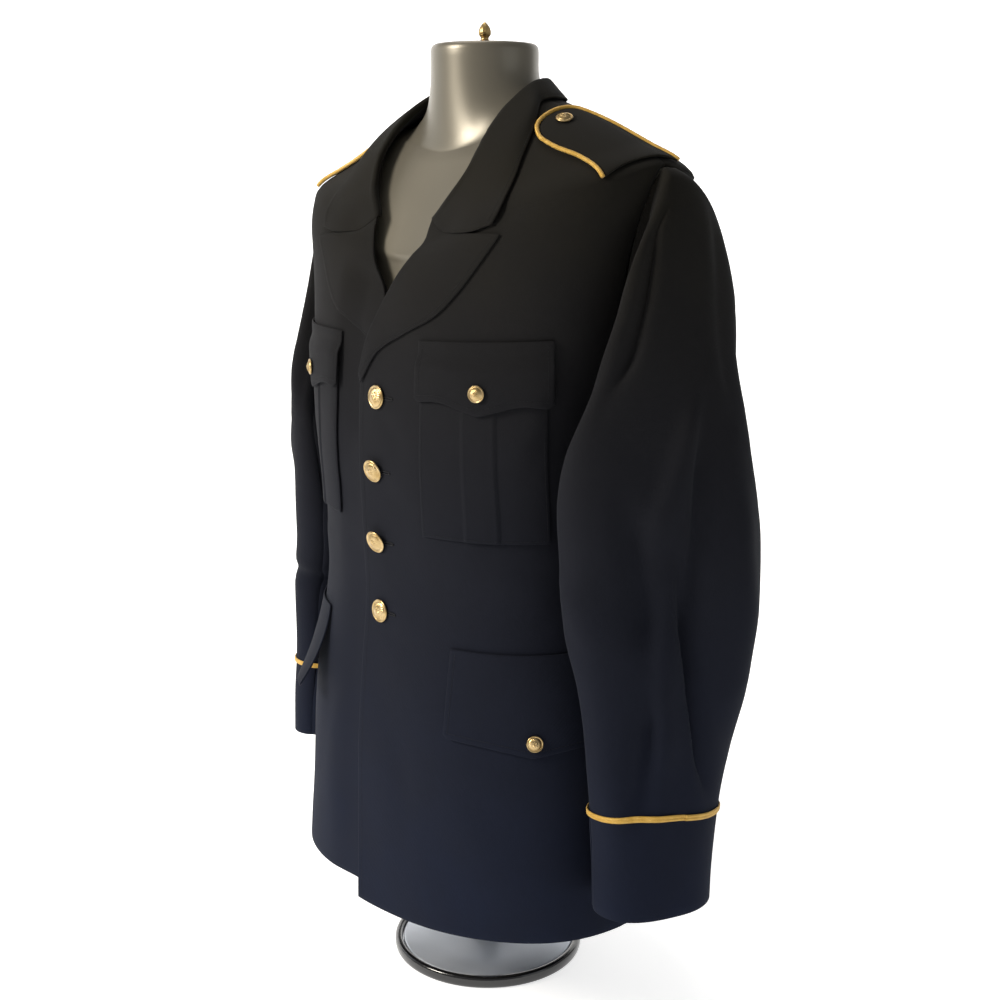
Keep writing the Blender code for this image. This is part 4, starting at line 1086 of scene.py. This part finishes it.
for side, mark in sides:
    inner, outer = strapDetail["inner"], strapDetail["outer"]
    xs = inner + (outer - inner) * np.linspace(0, 1, strapDetail["rows"]) ** 1.25
    share = np.linspace(0, 1, strapDetail["columns"])
    yFront, yRear = strapShape.at("yFront", xs), strapShape.at("yRear", xs)
    ys = yFront[:, None] + (yRear - yFront)[:, None] * share[None, :]
    grid = strapPoint(strapReach(xs[:, None], share[None, :]), ys, strapDetail["lift"] + wall / 2, side)
    strap = woolPiece("epaulet_cloth_" + mark, "epaulet_" + mark, grid, side)
    beside = strapDetail["pipingRadius"] + 0.6
    along = (210, 200, 188, 176, 164, 152, 139, 127)
    outline = [(strapReach(x, 0), strapShape.at("yFront", x) - beside) for x in along]
    outline += [(118.5, -41.6), (112.0, -35.5), (109.2, -26.5), (109.2, -11), (112.2, 1.2), (118.5, 9.5)]
    outline += [(strapReach(x, 1), strapShape.at("yRear", x) + beside) for x in reversed(along)]
    outline = rounded(np.array([(float(x), float(y), 0.0) for x, y in outline]), 260)
    path = strapPoint(outline[:, 0], outline[:, 1], strapDetail["pipingRadius"] + overlayGap, side)
    piping = place("epaulet_piping_cord_" + mark,
                   tube("epaulet_piping_" + mark, path, strapDetail["pipingRadius"], 16, 1.1, 6, 0.16),
                   goldBraid, "gold_braid", "epaulet_piping_" + mark)

print("cuff braid")
braidShape = {"stage": 11.0, "width": 4.6, "dip": 6.0, "gap": 1.0, "wall": 0.9, "plaits": 118, "rows": 13,
              "columns": 720}
for side, mark in sides:
    columns = np.linspace(0, loopCount, braidShape["columns"], endpoint=False)
    share = np.linspace(-0.5, 0.5, braidShape["rows"])
    c, s = np.meshgrid(columns, share)
    turn = 2 * math.pi * c / loopCount
    rise = braidShape["dip"] * np.cos(turn - 1.2) + braidShape["width"] * -s
    # two rounded rows of plaits with a groove between them
    plait = 0.22 * np.cos(braidShape["plaits"] * turn + 5.0 * abs(s) * 2)
    crown = 0.55 * np.sqrt(np.maximum(0.0, 1 - (abs(abs(s) - 0.25) / 0.27) ** 2))
    lift = braidShape["gap"] + sleeveFolds(c, braidShape["stage"] - rise / 60, side) + 0.2 + crown * (1 + plait)
    grid = mirror(sleevePoint(c, braidShape["stage"] - rise / 60, lift, side), side)
    mesh = clothMesh("cuff_braid_" + mark, grid, braidShape["wall"], side, closed=True)
    item = place("cuff_braid_lace_" + mark, mesh,
                 goldBraid, "gold_braid", "cuff_braid_" + mark)

print("stitches and buttonholes")
# name, level, angle and tilt in degrees
frontButtons = (("front_button_1", 617, 2.0, 0), ("front_button_2", 545, 0.3, 14),
                ("front_button_3", 475, 0.3, 16), ("front_button_4", 405, 0.8, 2))
# which edges carry top stitching: edge, distance in from it, and the shares of its length that are sewn
flapEdges = (("first", 5.0, 0, 1), ("last", 5.0, 0, 1), ("end", 5.0, 0, 1))
stitchEdges = {"lapel": (("last", 5.0, 0.02, 0.98),), "breast_flap": flapEdges, "hip_flap": flapEdges,
               "breast_pocket": (("first", 2.0, 0.25, 1), ("last", 2.0, 0.25, 1), ("end", 2.0, 0, 1)),
               "front": (("first", 6.0, 0, 0.62),), "collar": (("last", 5.0, 0, 1),)}
stitch = {"length": 2.1, "pitch": 3.0, "wide": 0.26, "tall": 0.2, "searched": 16, "proud": 0.04, "sunk": 0.1,
          "full": 0.3}


def edgeLine(name, edge, inset, first, last):
    # the line that runs at this distance inside one edge of a laid cloth, with its outward directions
    grid, normal = surfaces[name]
    if edge == "end":
        grid, normal = grid.transpose(1, 0, 2), normal.transpose(1, 0, 2)
    if edge in ("last", "end"):
        grid, normal = grid[:, ::-1], normal[:, ::-1]
    columns = stitch["searched"]
    gone = np.linalg.norm(np.diff(grid[:, :columns], axis=1), axis=-1).cumsum(1)
    gone = np.concatenate([np.zeros((len(grid), 1)), gone], 1)
    spot = np.array([np.interp(inset, row, np.arange(columns)) for row in gone])
    low = np.minimum(spot.astype(int), columns - 2)
    share = (spot - low)[:, None]
    rows = np.arange(len(grid))
    line = grid[rows, low] * (1 - share) + grid[rows, low + 1] * share
    out = unit(normal[rows, low] * (1 - share) + normal[rows, low + 1] * share)
    out = out * np.where((out * line * [1, 1, 0]).sum(-1, keepdims=True) < 0, -1.0, 1.0)
    run = np.concatenate([[0.0], np.linalg.norm(np.diff(line, axis=0), axis=1).cumsum()])
    begin, finish = max(inset, first * run[-1]), min(run[-1] - inset, last * run[-1])
    at = np.arange(begin, finish, stitch["pitch"])

    def along(values, spots):
        return np.stack([np.interp(spots, run, values[:, i]) for i in range(3)], -1)

    way = unit(along(line, at + 1.0) - along(line, at - 1.0))
    return along(line, at), way, unit(along(out, at))


def stitchMesh(name, lines):
    centre, way, out = (np.concatenate(parts) for parts in zip(*lines))
    beside = np.cross(out, way)
    centre = centre + out * (wall / 2 + stitch["proud"])
    points = [centre - way * stitch["length"] / 2 - out * stitch["sunk"]]
    for share in (-stitch["full"], stitch["full"]):
        for turn in range(4):
            c, s = math.cos(turn * math.pi / 2), math.sin(turn * math.pi / 2)
            ring = beside * stitch["wide"] * c + out * stitch["tall"] * s
            points.append(centre + way * stitch["length"] * share + ring)
    points.append(centre + way * stitch["length"] / 2 - out * stitch["sunk"])
    count = len(centre)
    points = np.stack(points, 1).reshape(-1, 3)
    faces = []
    for i in range(count):
        k = i * 10
        for turn in range(4):
            a, b = k + 1 + turn, k + 1 + (turn + 1) % 4
            faces += [[k, b, a], [a, b, b + 4, a + 4], [k + 9, a + 4, b + 4]]
    return meshFrom(name, points, faces)


buttonhole = {"length": 13.0, "start": 9.5, "halfWidth": 1.15, "thread": 0.6, "sunk": -0.65}


def holePath(angle, level):
    # a long narrow level ring on the left front, starting beside the button
    turn = np.linspace(0, 2 * math.pi, 40, endpoint=False)
    share = 1 + np.sign(np.cos(turn)) * abs(np.cos(turn)) ** 0.6
    along = buttonhole["start"] + buttonhole["length"] / 2 * share
    return laidPoint(angle + along * float(angleStep(angle, level, 1.0)),
                     level + buttonhole["halfWidth"] * np.sin(turn), buttonhole["sunk"], 1)


for side, mark in sides:
    lines = [edgeLine(kind + "_" + mark, *edge) for kind in ("lapel", "breast_flap", "breast_pocket", "hip_flap")
             for edge in stitchEdges[kind]]
    if side > 0:
        lines += [edgeLine("front_left", *edge) for edge in stitchEdges["front"]]
    place("top_stitches_" + mark, stitchMesh("top_stitches_" + mark, lines), darkThread, "wool")
place("collar_stitches", stitchMesh("collar_stitches", [edgeLine("collar", *stitchEdges["collar"][0])]), darkThread,
      "wool")
for name, level, angle, _ in frontButtons:
    ring = tube("front_buttonhole", holePath(angle, level), buttonhole["thread"], 8, closed=True)
    place(name.replace("button", "buttonhole"), ring, darkThread, "wool")

print("buttons")
buttonShape = {"large": 11.5, "small": 8.0, "rays": 24, "petals": 8, "segments": 96}
# share of the radius and height of the dome, its rim and its back
buttonProfile = np.array(((0.0, 4.3), (0.12, 4.27), (0.24, 4.12), (0.36, 3.88), (0.48, 3.55), (0.58, 3.15),
                          (0.67, 2.65), (0.745, 2.15), (0.79, 1.85), (0.82, 1.82), (0.86, 2.05), (0.9, 2.2),
                          (0.94, 2.12), (0.98, 1.8), (1.0, 1.3), (0.985, 0.8), (0.95, 0.42), (0.8, 0.15), (0.5, 0.0)))


def relief(share, turn):
    # a small rosette in the middle, fine rays round it
    petals = 0.6 * abs(np.cos(buttonShape["petals"] / 2 * turn)) ** 0.7 * np.exp(-((share - 0.2) / 0.13) ** 2)
    centre = 0.5 * np.exp(-(share / 0.06) ** 2)
    band = smooth(0.36, 0.44, share) * (1 - smooth(0.66, 0.76, share))
    rays = 0.34 * (0.5 + 0.5 * np.cos(buttonShape["rays"] * turn)) ** 2 * band
    beads = 0.2 * (0.5 + 0.5 * np.cos(48 * turn)) * np.exp(-((share - 0.9) / 0.035) ** 2)
    return petals + centre + rays + beads


def buttonMesh(name, radius, where, normal, tall=1.0):
    count = buttonShape["segments"]
    t = np.linspace(0, 1, 44)
    gone = np.concatenate([[0.0], np.hypot(*np.diff(buttonProfile * [4.0, 1.0], axis=0).T).cumsum()])
    share = np.interp(t * gone[-1], gone, buttonProfile[:, 0])
    height = np.interp(t * gone[-1], gone, buttonProfile[:, 1])
    turn = np.linspace(0, 2 * math.pi, count, endpoint=False)
    topSide = (t * gone[-1] < gone[13]).astype(float)
    r = share[1:, None] * radius * np.ones(count)
    h = height[1:, None] * tall + relief(share[1:, None], turn[None, :]) * topSide[1:, None] * tall
    points = np.stack([r * np.cos(turn), r * np.sin(turn), h], -1).reshape(-1, 3)
    points = np.concatenate([points, [[0, 0, height[0] + 0.3]], [[0, 0, 0]]])
    turned = np.array(Vector(normal).to_track_quat("Z", "Y").to_matrix())
    points = points @ turned.T + where
    rows = len(t) - 1
    number = np.arange(rows * count).reshape(rows, count)
    nextOne = np.roll(number, -1, 1)
    faces = np.stack([number[:-1], number[1:], nextOne[1:], nextOne[:-1]], -1).reshape(-1, 4).tolist()
    faces += [[rows * count, a, b] for a, b in zip(number[0], nextOne[0])]
    faces += [[rows * count + 1, b, a] for a, b in zip(number[-1], nextOne[-1])]
    return meshFrom(name, points, faces)


def addButton(node, where, normal, radius):
    return place(node + "_gilt", buttonMesh(node, radius, where, normal), giltMetal, "gilt", node)


buttonLean = np.array([0.35, 0.0, -0.94])
for name, level, angle, tilt in frontButtons:
    normal = bodyNormal(np.array(float(angle)), np.array(float(level)))
    turn = math.radians(tilt)
    leaning = unit(normal * math.cos(turn) + buttonLean * math.sin(turn))
    lift = buttonGap + max(0.3, 0.96 * buttonShape["large"] * math.sin(turn) - 0.4)
    lift += float(bodyFolds(angle, level, 1))
    addButton(name, onBody(angle, level, lift), leaning, buttonShape["large"])
for side, mark in sides:
    level = breastFlap["buttonLevel"]
    angle = float(girthAngle(level, (breastFlap["start"] + breastFlap["end"]) / 2))
    lift = breastFlapRest + wall + buttonGap - wall / 2
    where = laidPoint(angle, level, lift, side)
    addButton("breast_button_" + mark, where, mirrorDirection(bodyNormal(angle, level), side), buttonShape["small"])
    level = hipFlap["buttonLevel"]
    angle = float(girthAngle(level, (hipFlap["start"] + hipFlap["end"]) / 2))
    full = hipFlap["depth"] + hipFlap["point"]
    fall = (hipFlap["top"] - level) / full
    flare = hipFlap["flareRight"] if side < 0 else hipFlap["flareLeft"]
    normal = unit(bodyNormal(angle, level) + upAxis * flare * fall / full)
    lift = float(hipFlapLift(fall, 0.5, side)) + wall / 2 + buttonGap + 0.3
    addButton("hip_button_" + mark, laidPoint(angle, level, lift, side), mirrorDirection(normal, side),
              buttonShape["small"])
    angle, level = topPlace(*strapDetail["button"])
    where = mirror(onBody(angle, level, strapDetail["lift"] + wall + buttonGap), side)
    facing = mirrorDirection(bodyNormal(angle, level), side)
    addButton("epaulet_button_" + mark, where, facing, buttonShape["small"])

print("torso form and stand")
formInset = Table(
    ("level", "inset"),
    ((330, 17), (430, 15), (560, 17), (670, 17), (770, 16), (811, 12), (818, 9.5), (831, 4.8), (850, 3.5),
     (878, 3.5)))
formShape = {"frontInset": 10.0, "columns": 120, "rows": 90, "bottom": 330.0, "top": 880.0, "neckRadius": 52.0,
             "neckY": -2.0, "flareTop": 924.0, "flareRows": 14}
formFoot = ((0.5, 311.6), (0.8, 311.8), (0.88, 313.0), (0.93, 316.0), (0.965, 320.5), (0.99, 326.0))
neckTop = ((52.0, 930.0), (52.0, 936.5), (51.6, 939.6), (50.3, 941.9), (48.2, 943.2), (45.0, 943.5))


def formRing(level, turns):
    inset = float(formInset.at("inset", level))
    fromFront = np.minimum(turns, 360 - turns)
    deeper = max(0.0, formShape["frontInset"] - inset) * (1 - smooth(35, 70, fromFront))
    press = shoulderPress(fromFront, level) * smooth(70, 90, fromFront)
    return lowerRight(onBody(turns, np.full_like(turns, level), press - inset - deeper))


turns = np.linspace(0, 360, formShape["columns"], endpoint=False)
levels = np.linspace(formShape["bottom"], formShape["top"], formShape["rows"])
bodyRings = [formRing(level, turns) for level in levels]
rings = []
for share, height in formFoot:
    ring = bodyRings[0] * np.array([share, share, 0.0])
    ring[:, 2] = height
    rings.append(ring)
rings += bodyRings
radians = np.radians(turns)
stem = np.stack([formShape["neckRadius"] * np.sin(radians),
                 formShape["neckY"] - formShape["neckRadius"] * np.cos(radians),
                 np.full_like(radians, formShape["flareTop"])], -1)
for m in range(1, formShape["flareRows"] + 1):
    quarter = math.pi / 2 * m / formShape["flareRows"]
    ring = bodyRings[-1] + (stem - bodyRings[-1]) * math.sin(quarter)
    ring[:, 2] = bodyRings[-1][:, 2] + (stem[:, 2] - bodyRings[-1][:, 2]) * (1 - math.cos(quarter))
    rings.append(ring)
for radius, height in neckTop:
    share = radius / formShape["neckRadius"]
    ring = np.stack([stem[:, 0] * share, formShape["neckY"] + (stem[:, 1] - formShape["neckY"]) * share,
                     np.full_like(radians, height)], -1)
    rings.append(ring)


def loftMesh(name, rings, capLow=True, capHigh=True):
    count = len(rings[0])
    number = np.arange(len(rings) * count).reshape(len(rings), count)
    nextOne = np.roll(number, -1, 1)
    faces = np.stack([number[:-1], nextOne[:-1], nextOne[1:], number[1:]], -1).reshape(-1, 4).tolist()
    faces += [number[0][::-1].tolist()] if capLow else []
    faces += [number[-1].tolist()] if capHigh else []
    return meshFrom(name, np.concatenate(rings), faces)


def turnedRings(profile, count):
    turn = np.linspace(0, 2 * math.pi, count, endpoint=False)
    return [np.stack([r * np.cos(turn), r * np.sin(turn), np.full(count, float(z))], -1) for r, z in profile]


place("torso_form_shell", loftMesh("torso_form", rings), shellSatin, "form_shell", "torso_form")
plateProfile = ((0.5, 3.0), (60.0, 3.0), (90.0, 3.0), (91.8, 3.4), (92.4, 4.2), (92.4, 9.0), (91.8, 10.0),
                (90.0, 10.5), (55.0, 10.6), (28.0, 10.9), (22.0, 11.4), (18.4, 12.9), (15.6, 15.5), (13.6, 19.0),
                (12.4, 23.0), (12.0, 28.0), (12.0, 160.0), (12.0, 311.4), (0.5, 311.5))
place("base_plate_disc", loftMesh("base_plate", turnedRings(plateProfile, 128)), discPlate, "plate", "base_plate")
rim = {"radius": 97.25, "halfWidth": 4.25, "halfHeight": 6.3, "points": 40, "segments": 160}
rimSection = [(rim["radius"] + rim["halfWidth"] * abs(math.cos(a)) ** 0.7 * (1 if math.cos(a) > 0 else -1),
               rim["halfHeight"] + rim["halfHeight"] * abs(math.sin(a)) ** 0.8 * (1 if math.sin(a) > 0 else -1))
              for a in np.linspace(-math.pi, math.pi, rim["points"] + 1)]
rimRings = turnedRings(rimSection[:-1], rim["segments"])
rimNumber = np.arange(rim["points"] * rim["segments"]).reshape(rim["points"], rim["segments"])
rimNumber = np.concatenate([rimNumber, rimNumber[:1]])
rimNext = np.roll(rimNumber, -1, 1)
rimFaces = np.stack([rimNumber[:-1], rimNext[:-1], rimNext[1:], rimNumber[1:]], -1).reshape(-1, 4)
rimMesh = meshFrom("base_rim", np.concatenate(rimRings), rimFaces)
place("base_rim_gloss", rimMesh, rimBlack, "black_gloss", "base_rim")
finialProfile = ((0.5, 0.0), (7.0, 0.0), (7.5, 0.5), (7.5, 1.9), (7.0, 2.4), (5.0, 2.8), (4.2, 3.4), (3.7, 4.4),
                 (3.8, 5.6), (4.6, 6.7), (5.5, 7.8), (5.95, 9.0), (6.05, 10.4), (5.85, 12.0), (5.3, 13.9),
                 (4.3, 15.9), (3.0, 17.6), (1.8, 18.9), (1.0, 19.8), (0.4, 20.0))
finialShape = {"segments": 72, "flutes": 12, "fluteDepth": 0.07}
finialRings = []
for (radius, z), ring in zip(finialProfile, turnedRings(finialProfile, finialShape["segments"])):
    flute = 1 - finialShape["fluteDepth"] * float(smooth(6.5, 8.5, z) * (1 - smooth(16.5, 19, z)))
    turn = np.linspace(0, 2 * math.pi, finialShape["segments"], endpoint=False)
    factor = np.where(np.cos(turn * finialShape["flutes"]) > 0, 1.0, flute)
    ring[:, :2] *= factor[:, None]
    finialRings.append(ring + np.array([0.0, formShape["neckY"], neckTop[-1][1] + buttonGap]))
place("finial_brass", loftMesh("finial", finialRings), agedBrass, "aged_brass", "finial")

print("floor, light and camera")
floor = {"size": 3.2, "rise": 2.4, "bend": 0.6, "turn": 49, "colour": (0.86, 0.86, 0.86, 1), "glow": 0.72}


def addFloor():
    bend = [(floor["size"] * 0.5 + floor["bend"] * math.sin(a), floor["bend"] * (1 - math.cos(a)))
            for a in np.linspace(0, math.pi / 2, 16)]
    line = [(-floor["size"], 0.0)] + bend + [(bend[-1][0], floor["rise"])]
    across = (-floor["size"], floor["size"])
    turn = math.radians(floor["turn"])
    points, faces = [], []
    for depth, height in line:
        for x in across:
            # the sweep rises behind the object as the camera sees it
            points.append((x * math.cos(turn) - depth * math.sin(turn),
                           x * math.sin(turn) + depth * math.cos(turn), height))
    for i in range(len(line) - 1):
        faces.append((2 * i, 2 * i + 1, 2 * i + 3, 2 * i + 2))
    mesh = bpy.data.meshes.new("floor")
    mesh.from_pydata(points, [], faces)
    mesh.shade_smooth()
    item = bpy.data.objects.new("floor", mesh)
    rest.objects.link(item)
    paper = Finish("pale_floor", **{"Roughness": 0.9, "Specular IOR Level": 0.2})
    grain = paper.noise(paper.place(), 40.0, 3.0)
    paper.set("Emission Strength", floor["glow"])
    paper.set("Emission Color", paper.mixColour(grain, (1.0, 1.0, 1.0, 1), (0.98, 0.98, 0.98, 1)))
    darker = tuple(c * 0.98 for c in floor["colour"][:3]) + (1,)
    paper.set("Base Color", paper.mixColour(grain, floor["colour"], darker))
    mesh.materials.append(paper.material)


addFloor()


def addLight(name, location, target, size, power, colour):
    data = bpy.data.lights.new(name, "AREA")
    data.shape, data.size, data.size_y = "RECTANGLE", size[0], size[1]
    data.energy, data.color = power, colour
    lamp = bpy.data.objects.new(name, data)
    lamp.location = location
    lamp.rotation_euler = (Vector(target) - Vector(location)).to_track_quat("-Z", "Y").to_euler()
    rest.objects.link(lamp)


lights = (("key", (-0.9, -2.4, 1.9), (0.0, 0.0, 0.5), (0.9, 0.9), 74.0, (1.0, 0.94, 0.85)),
          ("fill", (2.4, 0.6, 0.9), (0.0, 0.0, 0.4), (1.4, 1.6), 3.0, (0.9, 0.95, 1.0)),
          ("top", (-0.6, 0.1, 2.7), (0.0, 0.0, 0.8), (1.2, 1.2), 14.0, (1.0, 0.95, 0.9)),
          ("left", (-2.3, -1.2, 0.9), (0.0, 0.0, 0.4), (1.2, 1.6), 4.0, (0.88, 0.93, 1.0)))
for lamp in lights:
    addLight(*lamp)
skyLight = 0.22
world = bpy.data.worlds.new("studio")
bpy.context.scene.world = world
world.use_nodes = True
world.node_tree.nodes["Background"].inputs["Color"].default_value = (1.0, 1.0, 1.0, 1)
world.node_tree.nodes["Background"].inputs["Strength"].default_value = skyLight

cameraPlace = {"location": (1.1272, -0.9798, 0.826), "lens": 53.64, "tilt": 77.5, "turn": 48.5}
cameraData = bpy.data.cameras.new("camera")
cameraData.lens, cameraData.sensor_width = cameraPlace["lens"], 36.0
camera = bpy.data.objects.new("camera", cameraData)
camera.location = cameraPlace["location"]
camera.rotation_euler = (math.radians(cameraPlace["tilt"]), 0.0, math.radians(cameraPlace["turn"]))
rest.objects.link(camera)
bpy.context.scene.camera = camera
bpy.context.scene.view_settings.view_transform = "Standard"

print("finish")
